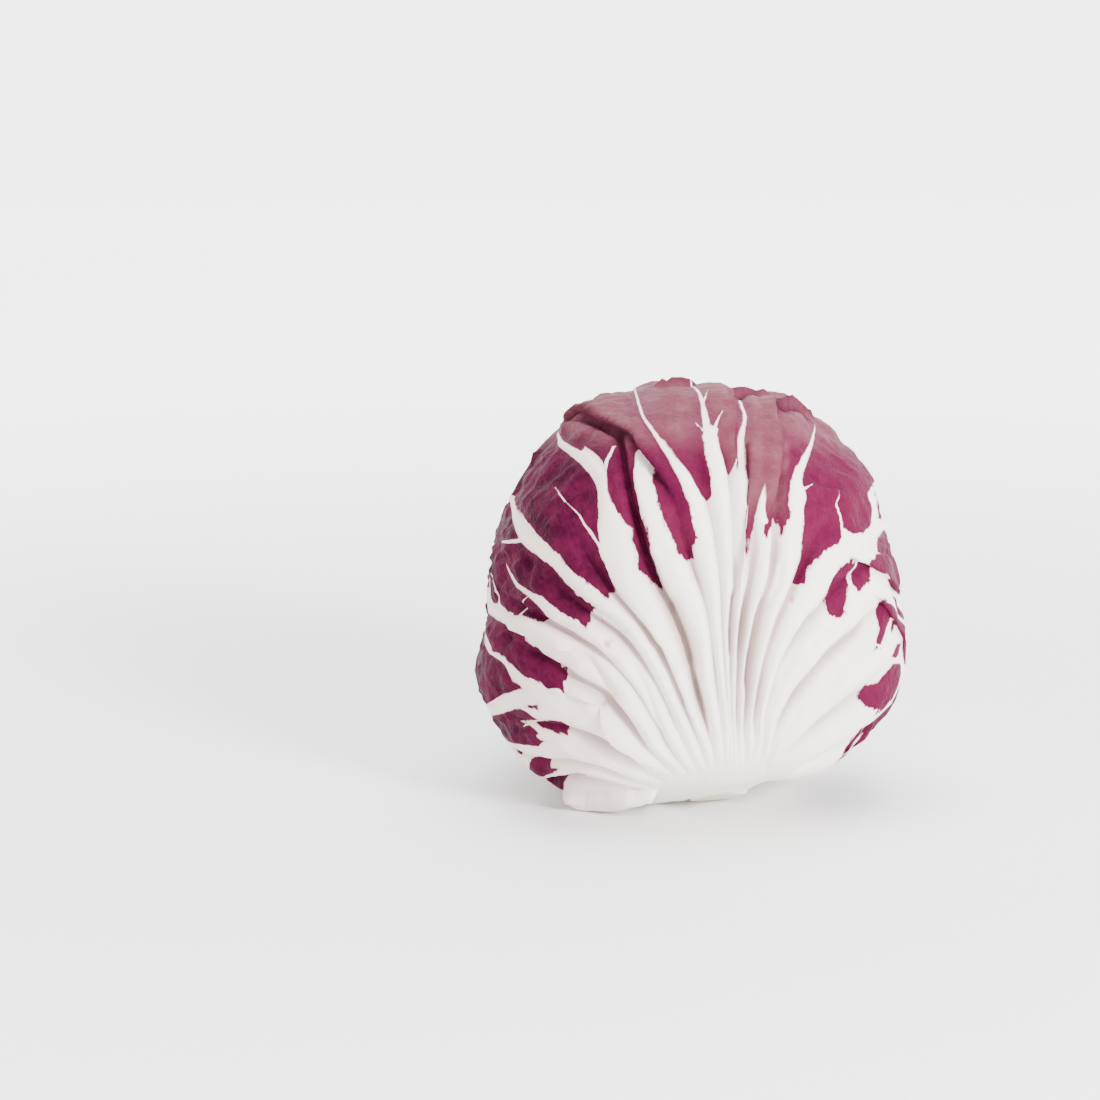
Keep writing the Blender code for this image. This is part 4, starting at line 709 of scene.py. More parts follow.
def skin(leaf, depth, settled, place, share):
    """The outer face at places across a leaf and shares of its length, and what the material reads."""
    distance = leaf.distance_at(place, share)
    flat = leaf.flat_at(place, distance)
    gap = leaf.gap_of(place)
    part = place - gap
    wide = (leaf.row_at(leaf.angles, gap + 1, distance) - leaf.row_at(leaf.angles, gap, distance)) * distance
    half_left = leaf.row_at(leaf.halves, gap, distance)
    half_right = leaf.row_at(leaf.halves, gap + 1, distance)
    left, right = part * wide, (1.0 - part) * wide
    aside = np.abs(part - 0.5) * wide
    white, behind = pattern(leaf, flat, part, wide, distance, gap, (half_left, half_right))
    around = np.clip(np.where(part < 0.5, gap - 1, gap + 1), 0, leaf.count - 2)
    tip = leaf.tips[gap]
    tip = blend(tip, 0.5 * (tip + leaf.tips[around]), np.abs(2.0 * part - 1.0))

    shift, lap_rise, lap_shadow = lap_shift(leaf, flat)
    moved = flat + shift
    directions, from_stem = round_the_stem(leaf.chart.directions(moved))
    outline = envelope(directions)
    if leaf.layer == 0:
        top = outline
        free = np.ones(len(place))
    else:
        top = depth.read(settled, directions)
        free = smooth(depth.read(depth.limit - depth.outline, directions), -1.0 * MM, -0.1 * MM)
        top = top - LAYER_GAP * smooth(outline - top, 0.3 * MM, 1.5 * MM)

    # Ribs stand out where the purple has begun, and cords and creases part them nearer to the base.
    fade = 1.0 - smooth(distance, tip, tip + FADE_LENGTH)
    near = smooth(distance, *NEAR_BASE)
    uneven = lattice_noise(np.stack((gap * 31.0 * MM, distance), 1), 15.0 * MM, leaf.seed + 10)
    middle = 1.0 - np.abs(2.0 * part - 1.0)
    cord = np.minimum(CORD_SHARE * wide, CORD_MOST) * fade * near * middle**1.8
    crease = 1.2 * leaf.creases[gap] * fade * near * np.exp(-(aside / CREASE_HALF) ** 1.3)
    crease = crease * np.clip(0.85 + 0.75 * uneven, 0.1, 1.5)
    rib_left = smooth(half_left, 0.0, 2.6 * MM) ** 0.7 * dome(left, 1.25 * half_left + 0.35 * MM)
    rib_right = smooth(half_right, 0.0, 2.6 * MM) ** 0.7 * dome(right, 1.25 * half_right + 0.35 * MM)
    ridge = np.maximum(rib_left, rib_right) * RIDGE_RISE
    puff = PUFF_RISE * smooth(wide, 4.0 * MM, 12.0 * MM) * np.sin(math.pi * part)
    height = -cord - crease + (1.0 - fade) * (ridge - RIDGE_RISE + puff)
    vein_off, vein_half, vein_rise = side_veins(leaf, flat, white)
    height += vein_rise

    # Furrows, and the purple that buckles between the ribs, most on the left and high on the right.
    lamina = smooth(-white, -0.5 * MM, 2.5 * MM)
    # The dark mask: painted shadow under the laps, and a darker strip where the leaf behind shows.
    dark = np.maximum(0.8 * lap_shadow, behind)
    for line, deep, half in leaf.furrows:
        signed, along, _, _ = nearest_on(flat, line)
        ends = smooth(along, 0.0, 0.15) * (1.0 - smooth(along, 0.85, 1.0))
        # Painted shade along the deeper furrows.
        shade = smooth(deep, 1.5, 3.0) * ends * np.exp(-(signed / (1.8 * half * MM)) ** 2)
        dark = np.maximum(dark, shade)
        height -= deep * MM * ends * np.exp(-(np.abs(signed) / (half * MM)) ** 1.4)
    crinkled = 0.5
    if leaf.layer == 0:
        corner = smooth(moved[:, 0], 20.0 * MM, 36.0 * MM) * smooth(moved[:, 1], 8.0 * MM, 28.0 * MM)
        crinkled = np.maximum(smooth(-moved[:, 0], 12.0 * MM, 45.0 * MM), 0.8 * corner)
    broad = lattice_noise(flat, 6.5 * MM, leaf.seed + 1)
    narrow = lattice_noise(flat, 3.1 * MM, leaf.seed + 2)
    buckle = broad + 0.5 * narrow
    wrinkle = 1.0 - 2.0 * np.abs(lattice_noise(flat, 4.2 * MM, leaf.seed + 3))
    height += lamina * blend(*BUCKLE_RISES, crinkled) * buckle
    height += lamina * blend(*WRINKLE_RISES, crinkled) * wrinkle
    outer = smooth(distance, 25.0 * MM, 60.0 * MM)
    height += SWELL_RISE * lattice_noise(flat, 21.0 * MM, leaf.seed + 4) * outer
    height += GRAIN_RISE * lattice_noise(flat, 2.3 * MM, leaf.seed + 5) * (1.0 - lamina)
    fibres = np.stack((leaf.angle_at(place, distance) * 60.0 * MM, distance * 0.22), 1)
    coarse = lattice_noise(fibres, 4.0 * MM, leaf.seed + 6)
    fine = lattice_noise(fibres, 1.7 * MM, leaf.seed + 9)
    height += (FIBRE_RISES[0] * coarse + FIBRE_RISES[1] * fine) * (1.0 - 0.6 * lamina) * near

    # Rolls, and the margin that waves.
    for line, rise in leaf.rolls:
        signed, _, half, _ = nearest_on(flat, line)
        power = 0.8 if rise > 3.0 else 1.3
        hump = np.clip(1.0 - (signed / np.maximum(1.5 * half, 1e-6)) ** 2, 0.0, 1.0) ** power
        height += rise * MM * hump
        # The small rolls are darkened as well.
        dark = np.maximum(dark, 0.7 * hump * (rise < 3.0))
    lift = 0.5 + waves(place, leaf.seed + 7, (3.3, 1.7), (0.4, 0.35))
    lift += waves(place, leaf.seed + 8, (0.9, 0.55), (0.25, 0.2))
    up = smooth(directions[:, 2], -0.55, -0.2)
    height += leaf.flare * smooth(share, 0.88, 1.0) ** 1.5 * free * up * np.clip(lift, -0.3, 1.6)
    height += lap_rise
    pressed = smooth(-directions[:, 2], 0.88, 0.965)
    height = blend(height, 0.0, pressed)
    height += COLLAR_RISE * (1.0 - smooth(from_stem * ARC_RADIUS, 8.5 * MM, 15.0 * MM))
    points = CENTRE + directions * (top + height)[:, None]
    points[:, 2] = np.maximum(points[:, 2], LEAST_HEIGHT)

    # Dusty bloom and painted sheen: the purple is paler high on the front leaf and less where it is
    # darkened; the leaves behind take a fixed share.
    seen_up = (directions @ SIGHT_UP) * ARC_RADIUS
    bloom_sheen_from = np.interp(directions[:, 0] * ARC_RADIUS, *FRONT_BLOOM_SHEEN)
    dusty_sheen = smooth(seen_up, bloom_sheen_from - 3.0 * MM, bloom_sheen_from + 7.0 * MM) if leaf.layer == 0 else 0.35
    # Painted shade: the front leaf darkens towards its left side, and the leaves behind are half shaded all
    # over.
    shaded = 0.5 if leaf.layer else smooth(-moved[:, 0], 8.0 * MM, 40.0 * MM)
    flecks = np.zeros(len(place))
    for spot in leaf.flecks:
        flecks += np.exp(-((flat - spot) ** 2).sum(1) / FLECK_SPREAD**2)
    reads = {
        "flecks": flecks,
        # Painted shade in the creases and between the cords.
        "groove_shade": np.clip((cord + 1.3 * crease) / (4.0 * MM), 0.0, 1.0),
        "white": white / MM,
        "vein_off": vein_off / MM,
        "vein_half": vein_half / MM,
        "fan_x": leaf.angle_at(place, distance) * 55.0,
        "fan_y": distance / MM,
        "bloom_and_sheen": (1.0 - dark) * dusty_sheen,
        # Painted shade: darker towards the left, under the laps and in the furrows, and on the darkened
        # rolls and strip.
        "left": np.maximum(shaded, dark),
        "calm": 1.0 - smooth(np.where(part < 0.5, half_left, half_right), 0.5 * MM, 3.0 * MM),
    }
    return points, directions, flat, reads


def strip(rows_of_points):
    faces = []
    count = len(rows_of_points[0])
    for a, b in zip(rows_of_points[:-1], rows_of_points[1:]):
        for k in range(count - 1):
            faces.append((a[k], a[k + 1], b[k + 1], b[k]))
    return faces


COLUMNS_AT = 85.0 * MM
RIM_SECOND = 2.2 * MM
RIM_THIRD = 8.0 * MM
RIM_TURN = 0.55
RIM_BULGE = 0.12
RIM_LOWEST = 0.3 * MM
COVER_GAP = 1.2 * MM
CHART_SPACING = 37.0


def build_leaf(leaf, depth, across, along, material):
    """A fine blade: its outer face, and a rolled rim that runs a little way back underneath."""
    settled = depth.settle()
    places = []
    for gap in range(leaf.count - 1):
        low, high = (leaf.row_at(leaf.angles, gap + k, np.array([COLUMNS_AT]))[0] for k in (0, 1))
        wide = (high - low) * COLUMNS_AT
        parts = 2 * max(3, int(round(wide / (2.0 * across))))
        places += [gap + k / parts for k in range(parts)]
    places = np.array(places + [leaf.count - 1.0])
    rows = int(round(np.median(leaf.length) / along))
    shares = np.linspace(0.0, 1.0, rows)
    place, share = (grid.ravel() for grid in np.meshgrid(places, shares, indexing="ij"))
    points, directions, flat, reads = skin(leaf, depth, settled, place, share)
    columns = len(places)
    grid = np.arange(columns * rows).reshape(columns, rows)

    extra_points, extra_of = [], []
    faces = []
    quads = np.stack((grid[:-1, :-1], grid[1:, :-1], grid[1:, 1:], grid[:-1, 1:]), -1).reshape(-1, 4)
    count = len(points)
    inward = -directions * BLADE
    to_second, to_third = int(RIM_SECOND / along), int(RIM_THIRD / along)
    rims = ((grid[:, -1], grid[:, -1 - to_second], grid[:, -1 - to_third], False),
            (grid[0, :], grid[2, :], grid[6, :], True),
            (grid[-1, :], grid[-3, :], grid[-7, :], False))
    for edge, second, third, flip in rims:
        rows_made = [edge]
        for source, deep in ((edge, RIM_TURN), (edge, 1.0), (second, 1.25), (third, 1.5)):
            base_point = points[source]
            if deep == RIM_TURN:
                base_point = points[edge] + (points[edge] - points[second]) * RIM_BULGE
            made = base_point + inward[source] * deep
            made[:, 2] = np.maximum(made[:, 2], RIM_LOWEST)
            rows_made.append(np.arange(count, count + len(edge)))
            extra_points.append(made)
            extra_of.append(source)
            count += len(edge)
        part = strip(rows_made)
        faces += [f[::-1] for f in part] if flip else part
    all_points = np.concatenate([points] + extra_points)
    source = np.concatenate([np.arange(len(points))] + extra_of)
    mesh = bpy.data.meshes.new(leaf.name + "_blade")
    mesh.from_pydata(all_points.tolist(), [], quads.tolist() + faces)
    for key, values in reads.items():
        layer = mesh.attributes.new(key, "FLOAT", "POINT")
        layer.data.foreach_set("value", values[source].astype(np.float32))
    chart = mesh.attributes.new("chart", "FLOAT_VECTOR", "POINT")
    spread = np.column_stack((flat[source] / MM, np.full(len(source), CHART_SPACING * leaf.seed)))
    chart.data.foreach_set("vector", spread.astype(np.float32).ravel())
    mesh.materials.append(material)
    mesh.shade_smooth()
    mesh.update()
    item = bpy.data.objects.new(leaf.name + "_blade", mesh)
    bpy.context.scene.collection.objects.link(item)
    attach(item, "root")
    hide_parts(leaf.name)
    depth.cover(points[::3] - directions[::3] * (BLADE + COVER_GAP))


FAN_AWAY_DEG = 80.0
FAN_SPREAD_DEG = 68.0
FAN_LONG, FAN_SHORTER = 150.0, 50.0
FAN_HALF, FAN_NARROWER = 4.6, 1.6
FAN_LEAST_HALF = 0.35 * MM
FAN_LOW_DEG = 82.0
FAN_BASE_DEG = 80.5
BRANCH_MISSED = 0.35
BRANCH_LONG = (10.0, 22.0)
TIP_AWAY = (42.0, 66.0)
CREASE_DEPTHS = (0.5, 1.6)


def fan_leaf(name, azimuth_deg, layer, length_deg, width_deg, ribs, seed, flare):
    """A leaf of the common form, whose middle is at that angle round the stem, seen from the front."""
    away = math.radians(FAN_AWAY_DEG)
    turn = math.radians(azimuth_deg)
    outwards = AHEAD * math.cos(turn) + ASIDE * math.sin(turn)
    middle = STEM * math.cos(away) + outwards * math.sin(away)
    chart = Chart(middle, -STEM)
    base = np.array((0.0, -away * ARC_RADIUS))
    rng = np.random.default_rng(seed)
    lines = []
    for i in range(ribs):
        side = 2.0 * i / (ribs - 1.0) - 1.0
        lean = math.radians(FAN_SPREAD_DEG) * side * (0.55 + 0.45 * abs(side)) + rng.uniform(-0.05, 0.05)
        bend = 0.35 * side * (1.0 - 0.4 * abs(side)) + rng.uniform(-0.08, 0.08)
        reach = (FAN_LONG - FAN_SHORTER * abs(side)) * MM * rng.uniform(0.9, 1.05)
        thick = (FAN_HALF - FAN_NARROWER * abs(side)) * MM
        rows = []
        for s in np.linspace(0.16, 1.0, 7):
            angle = lean + bend * (s - 0.3)
            half = thick * (1.0 - s) ** 0.9 + FAN_LEAST_HALF
            x, y = base + s * reach * np.array((math.sin(angle), math.cos(angle)))
            rows.append((x, y, half))
        lines.append(np.array(rows))
    draw = np.random.default_rng(seed + 100)
    branches, tips = [], []
    for i, line in enumerate(lines):
        for j in range(2, 6):
            for turned in (-1, 1):
                if draw.random() < BRANCH_MISSED:
                    continue
                start = blend(line[j - 1], line[j], draw.random())
                run = line[j, :2] - line[j - 1, :2]
                heading = math.atan2(run[0], run[1]) + turned * draw.uniform(0.5, 0.8)
                long = draw.uniform(*BRANCH_LONG) * MM
                bent = heading - turned * draw.uniform(0.15, 0.4)
                half = min(start[2] * 0.5, 0.8 * MM)
                second = start[:2] + 0.5 * long * np.array((math.sin(heading), math.cos(heading)))
                third = second + 0.5 * long * np.array((math.sin(bent), math.cos(bent)))
                branches.append(np.array(((*start[:2], half), (*second, 0.55 * half), (*third, 0.12 * MM))))
    for i in range(ribs - 1):
        mid = 0.5 * (lines[i][3, :2] + lines[i + 1][3, :2]) - base
        tips.append(base + unit(mid) * draw.uniform(*TIP_AWAY) * MM)
    creases = draw.uniform(*CREASE_DEPTHS, ribs - 1)
    top, side, low = length_deg, width_deg, FAN_LOW_DEG
    shoulder, hip = blend(side, top, 0.4), 0.5 * (low + side)
    reach = ((-110, low), (-90, FAN_BASE_DEG), (-70, low), (-40, hip), (0, side), (45, shoulder), (90, top),
             (135, shoulder), (180, side), (220, hip), (250, low))
    return Leaf(name, chart, base, lines, branches, reach, layer, tips, creases, flare=flare, seed=seed)


def front_leaf():
    chart = Chart(FRONT, UP)

    def line_on(drawn):
        drawn = np.asarray(drawn)
        return np.column_stack((from_drawing(chart, drawn[:, :2]), drawn[:, 2:]))

    base = from_drawing(chart, FRONT_BASE[None, :])[0]
    ribs = [line_on(rib) for rib in FRONT_RIBS]
    branches = [line_on(branch) for branch in FRONT_BRANCHES]
    return Leaf("leaf_front", chart, base, ribs, branches, FRONT_REACH, 0,
                from_drawing(chart, mm(*FRONT_TIPS)), FRONT_CREASES, base_spread_deg=80.0,
                flare=1.6 * MM, seed=3,
                rolls=[(line_on(line), rise) for line, rise in FRONT_ROLLS],
                purple=[line_on(shape) for shape in FRONT_PURPLE], flecks=line_on(FRONT_FLECKS),
                laps=[(line_on(line), side, height, overlap) for line, side, height, overlap in FRONT_LAPS],
                furrows=[(line_on(line), deep, half) for line, deep, half in FRONT_FURROWS])


class Nodes:
    """A short way to write a material's nodes."""

    def __init__(self, name):
        self.material = bpy.data.materials.new(name)
        self.material.use_nodes = True
        self.tree = self.material.node_tree
        self.shader = self.tree.nodes["Principled BSDF"]

    def link(self, value, socket):
        if isinstance(value, bpy.types.NodeSocket):
            self.tree.links.new(value, socket)
        elif value is not None:
            socket.default_value = value

    def read(self, name, vector=False):
        node = self.tree.nodes.new("ShaderNodeAttribute")
        node.attribute_name = name
        return node.outputs["Vector" if vector else "Fac"]

    def math(self, operation, a, b=None):
        node = self.tree.nodes.new("ShaderNodeMath")
        node.operation = operation
        for value, socket in zip((a, b), node.inputs):
            self.link(value, socket)
        return node.outputs[0]

    def span(self, value, low, high, start=0.0, end=1.0):
        node = self.tree.nodes.new("ShaderNodeMapRange")
        node.interpolation_type = "SMOOTHSTEP"
        for given, socket in zip((value, low, high, start, end), node.inputs):
            self.link(given, socket)
        return node.outputs[0]

    def joined(self, x, y, z=0.0):
        node = self.tree.nodes.new("ShaderNodeCombineXYZ")
        for value, socket in zip((x, y, z), node.inputs):
            self.link(value, socket)
        return node.outputs[0]

    def noise(self, vector, scale, detail=2.0, rough=0.5):
        node = self.tree.nodes.new("ShaderNodeTexNoise")
        self.link(vector, node.inputs["Vector"])
        node.inputs["Scale"].default_value = scale
        node.inputs["Detail"].default_value = detail
        node.inputs["Roughness"].default_value = rough
        return node.outputs[0]

    def cells(self, vector, scale):
        node = self.tree.nodes.new("ShaderNodeTexVoronoi")
        node.feature = "DISTANCE_TO_EDGE"
        self.link(vector, node.inputs["Vector"])
        node.inputs["Scale"].default_value = scale
        return node.outputs["Distance"]

    def mix(self, share, a, b):
        node = self.tree.nodes.new("ShaderNodeMix")
        node.data_type = "RGBA"
        self.link(share, node.inputs["Factor"])
        for value, name in ((a, "A"), (b, "B")):
            socket = [s for s in node.inputs if s.name == name and s.type == "RGBA"][0]
            if isinstance(value, tuple):
                value = (*value, 1.0)
            self.link(value, socket)
        return [s for s in node.outputs if s.type == "RGBA"][0]

    def bump(self, height, distance):
        node = self.tree.nodes.new("ShaderNodeBump")
        node.inputs["Strength"].default_value = 1.0
        node.inputs["Distance"].default_value = distance
        self.link(height, node.inputs["Height"])
        return node.outputs[0]

    def finish(self, **values):
        for name, value in values.items():
            self.link(value, self.shader.inputs[name.replace("_", " ")])
        return self.material


WINE_DARK = (0.024, 0.0012, 0.010)
WINE = (0.072, 0.0045, 0.026)
WINE_LIGHT = (0.096, 0.008, 0.031)
WINE_BLOOM_SHEEN = (0.160, 0.055, 0.068)
FLECK_PINK = (0.600, 0.190, 0.250)
BLUSH = (0.780, 0.480, 0.510)
GROOVE_SHADE_TINT = (0.52, 0.40, 0.38)
RIB_LEFT_SHADE = (0.720, 0.575, 0.535)
RIB_WHITE = (0.910, 0.850, 0.800)
RIB_CREAM = (0.890, 0.840, 0.740)
RIB_SHADE = (0.770, 0.690, 0.655)
CUT_CREAM = (0.74, 0.67, 0.53)
CUT_TAN = (0.60, 0.47, 0.32)
WHITE = (1.0, 1.0, 1.0, 1.0)
FLOOR_WHITE = (0.90, 0.90, 0.90, 1.0)


def leaf_material():
    n = Nodes("leaf_wine_fine")
    white = n.read("white")
    veins = n.math("SUBTRACT", n.read("vein_half"), n.math("ABSOLUTE", n.read("vein_off")))
    x, y = n.read("fan_x"), n.read("fan_y")
    chart = n.read("chart", vector=True)
    streaks = n.joined(x, n.math("MULTIPLY", y, 0.16))
    ragged = n.noise(streaks, 1.3, 3.0, 0.6)
    torn = n.noise(chart, 1.1, 2.0, 0.6)
    wander = n.math("ADD", n.math("MULTIPLY", n.math("SUBTRACT", ragged, 0.5), 3.4),
                    n.math("MULTIPLY", n.math("SUBTRACT", torn, 0.5), 0.5))
    wander = n.math("MULTIPLY", wander, n.span(n.read("calm"), 0.0, 1.0, 1.0, 0.3))
    edge = n.math("ADD", white, n.math("MULTIPLY", wander, n.span(white, -2.5, 1.0, 0.15, 1.0)))
    rib = n.span(edge, -0.22, 0.32)
    vein_edge = n.math("ADD", veins, n.math("MULTIPLY", n.math("SUBTRACT", torn, 0.5), 0.5))
    vein = n.span(vein_edge, -0.12, 0.16)
    pale = n.math("MAXIMUM", rib, vein)

    net = n.cells(chart, 0.34)
    fine = n.cells(chart, 0.95)
    fibre = n.noise(n.joined(n.math("MULTIPLY", x, 1.5), n.math("MULTIPLY", y, 0.12)), 1.2, 3.0, 0.65)
    patches = n.noise(chart, 0.07, 3.0, 0.6)
    mottle = n.noise(chart, 0.22, 3.0, 0.6)
    tone = n.math("ADD", n.math("MULTIPLY", patches, 0.45), n.math("MULTIPLY", fibre, 0.25))
    tone = n.math("ADD", tone, n.math("MULTIPLY", mottle, 0.40))
    # Painted shade: where 'left' is high the purple turns darker.
    left = n.read("left")
    bloom_and_sheen = n.read("bloom_and_sheen")
    wine = n.mix(n.span(tone, 0.44, 0.66), WINE_DARK, WINE)
    lighter = n.mix(n.span(tone, 0.42, 0.66), WINE, WINE_LIGHT)
    wine = n.mix(n.math("SUBTRACT", 1.0, n.math("MULTIPLY", left, 0.85)), wine, lighter)
    # Dusty bloom and painted sheen: the purple pales towards a dusty mauve.
    dusty_sheen = n.math("MULTIPLY", bloom_and_sheen, n.span(n.noise(chart, 0.12, 3.0, 0.65), 0.30, 0.70, 0.45, 0.95))
    wine = n.mix(dusty_sheen, wine, WINE_BLOOM_SHEEN)
    near_rib = n.span(edge, -3.5, -0.3)
    wine = n.mix(n.math("MULTIPLY", near_rib, 0.25), wine, WINE_LIGHT)
    lines = n.math("MULTIPLY", n.span(net, 0.10, 0.0), 0.16)
    wine = n.mix(lines, wine, WINE_LIGHT)
    wine = n.mix(n.math("MULTIPLY", n.span(fine, 0.08, 0.0), 0.05), wine, WINE_LIGHT)

    cream = n.mix(n.span(y, 38.0, 8.0), RIB_WHITE, RIB_CREAM)
    shade = n.math("MULTIPLY", n.span(fibre, 0.45, 0.75), 0.5)
    cream = n.mix(shade, cream, RIB_SHADE)
    # Painted shade on the white ribs towards the left.
    cream = n.mix(n.math("MULTIPLY", left, 0.7), cream, RIB_LEFT_SHADE)
    # Painted shade: the white turns darker and browner in the creases.
    groove_shade = n.span(n.read("groove_shade"), 0.12, 1.0, 0.0, 0.9)
    cream = n.mix(groove_shade, cream, GROOVE_SHADE_TINT)
    specks = n.math("MULTIPLY", n.span(n.noise(streaks, 2.3, 2.0, 0.7), 0.70, 0.76),
                    n.span(n.noise(chart, 0.10, 1.0), 0.60, 0.70))
    specks = n.math("MULTIPLY", specks, n.span(white, 2.6, 0.4))
    flecked = n.math("ADD", n.read("flecks"), n.math("MULTIPLY", n.math("SUBTRACT", ragged, 0.5), 2.2))
    specks = n.math("MAXIMUM", specks, n.span(flecked, 0.70, 1.15))
    cream = n.mix(n.math("MULTIPLY", specks, 0.75), cream, FLECK_PINK)
    cream = n.mix(n.span(edge, 1.3, 0.0, 0.0, 0.45), cream, BLUSH)
    colour = n.mix(pale, wine, cream)

    relief = n.math("ADD", n.math("MULTIPLY", n.span(net, 0.0, 0.30), 0.7),
                    n.math("MULTIPLY", n.span(fine, 0.0, 0.25), 0.25))
    relief = n.math("ADD", relief, n.math("MULTIPLY", n.noise(chart, 0.8, 2.0, 0.5), 0.8))
    lamina_height = n.math("MULTIPLY", relief, n.math("SUBTRACT", 1.0, pale))
    rib_height = n.math("MULTIPLY", n.math("ADD", n.math("MULTIPLY", fibre, 0.55), 0.55), pale)
    normal = n.bump(n.math("ADD", lamina_height, rib_height), 0.00015)
    rough = n.math("ADD", n.math("MULTIPLY", pale, 0.20), n.span(patches, 0.3, 0.7, 0.42, 0.54))
    return n.finish(Base_Color=colour, Roughness=rough, Normal=normal, Subsurface_Weight=0.0,
                    IOR=1.08, Specular_IOR_Level=0.5)


def inner_material():
    n = Nodes("heart_wine_fine")
    where = n.tree.nodes.new("ShaderNodeTexCoord").outputs["Object"]
    patches = n.noise(where, 60.0, 4.0, 0.6)
    colour = n.mix(n.span(patches, 0.35, 0.7), WINE_DARK, WINE)
    pale = n.span(n.read("rib"), 0.0, 0.25)
    colour = n.mix(pale, colour, RIB_WHITE)
    return n.finish(Base_Color=colour, Roughness=0.42, Normal=n.bump(n.noise(where, 400.0, 3.0), 0.0003))


def stem_material():
    n = Nodes("stem_cream_fine")
    turn, along = n.read("turn"), n.read("along")
    fibre = n.noise(n.joined(n.math("MULTIPLY", turn, 9.0), n.math("MULTIPLY", along, 0.10)), 1.0, 3.0, 0.6)
    where = n.tree.nodes.new("ShaderNodeTexCoord").outputs["Object"]
    stain = n.noise(where, 180.0, 4.0, 0.6)
    colour = n.mix(n.span(fibre, 0.35, 0.7), RIB_CREAM, RIB_SHADE)
    cut = n.read("cut")
    cut_colour = n.mix(n.span(stain, 0.35, 0.7), CUT_CREAM, CUT_TAN)
    colour = n.mix(n.math("MULTIPLY", cut, n.span(stain, 0.25, 0.75, 0.25, 0.8)), colour, cut_colour)
    height = n.math("ADD", n.math("MULTIPLY", fibre, 0.6), n.math("MULTIPLY", stain, 0.5))
    return n.finish(Base_Color=colour, Roughness=0.5, Normal=n.bump(height, 0.0004))


def add_piece(name, points, faces, reads, material, node):
    mesh = bpy.data.meshes.new(name)
    mesh.from_pydata(points.tolist(), [], faces)
    for key, values in reads.items():
        layer = mesh.attributes.new(key, "FLOAT", "POINT")
        layer.data.foreach_set("value", np.asarray(values, np.float32))
    mesh.materials.append(material)
    mesh.shade_smooth()
    item = bpy.data.objects.new(name, mesh)
    bpy.context.scene.collection.objects.link(item)
    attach(item, "root")
    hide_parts(node)
    return item


HEART_TURNS = 160
HEART_RINGS = 90
HEART_GAP = 0.8 * MM
HEART_LEAVES = 5
HEART_STEP = 1.6 * MM
HEART_RIBS = 23.0
HEART_RIB_RISE = 0.3 * MM


def build_heart(depth, material):
    settled = depth.settle()
    polar_angle = np.linspace(0.0, math.pi, HEART_RINGS + 1)[1:-1]
    turn = np.arange(HEART_TURNS) * 2.0 * math.pi / HEART_TURNS
    down, round_it = (g.ravel() for g in np.meshgrid(polar_angle, turn, indexing="ij"))
    aside = np.cos(round_it)[:, None] * AHEAD + np.sin(round_it)[:, None] * ASIDE
    directions = STEM * np.cos(down)[:, None] + aside * np.sin(down)[:, None]
    directions = np.concatenate((directions, [STEM, -STEM]))
    down = np.concatenate((down, [0.0, math.pi]))
    round_it = np.concatenate((round_it, [0.0, 0.0]))
    radius = depth.read(settled, directions) - HEART_GAP
    spiral = (round_it / (2.0 * math.pi) * HEART_LEAVES + 1.4 * down) % 1.0
    radius -= HEART_STEP * spiral * smooth(down, 1.2, 2.4) * smooth(math.pi - down, 0.05, 0.35)
    ribs = np.cos(round_it * HEART_RIBS + 2.0 * np.sin(down * 3.0))
    radius += HEART_RIB_RISE * ribs
    radius = np.where(down < 0.35, np.minimum(radius, STEM_TOP / np.maximum(np.cos(down), 0.3)), radius)
    points = CENTRE + directions * radius[:, None]
    faces = []
    for ring in range(HEART_RINGS - 2):
        for k in range(HEART_TURNS):
            a, b = ring * HEART_TURNS + k, ring * HEART_TURNS + (k + 1) % HEART_TURNS
            faces.append((a, b, b + HEART_TURNS, a + HEART_TURNS))
    last = (HEART_RINGS - 2) * HEART_TURNS
    for k in range(HEART_TURNS):
        after = (k + 1) % HEART_TURNS
        faces += [(len(down) - 2, after, k), (len(down) - 1, last + k, last + after)]
    reads = {"rib": (ribs - 0.75) * smooth(math.pi - down, 1.2, 2.0)}
    add_piece("inner_head_leaves", points, faces, reads, material, "inner_head")


STEM_TURNS = 240
STEM_ROWS = 46
CUT_ROWS = 14
ROUNDING_SHARE = 0.35
ROUNDING_TURN = 0.55
ROUNDING_DROP = 1.3 * MM
CUT_SUNK = 0.5 * MM


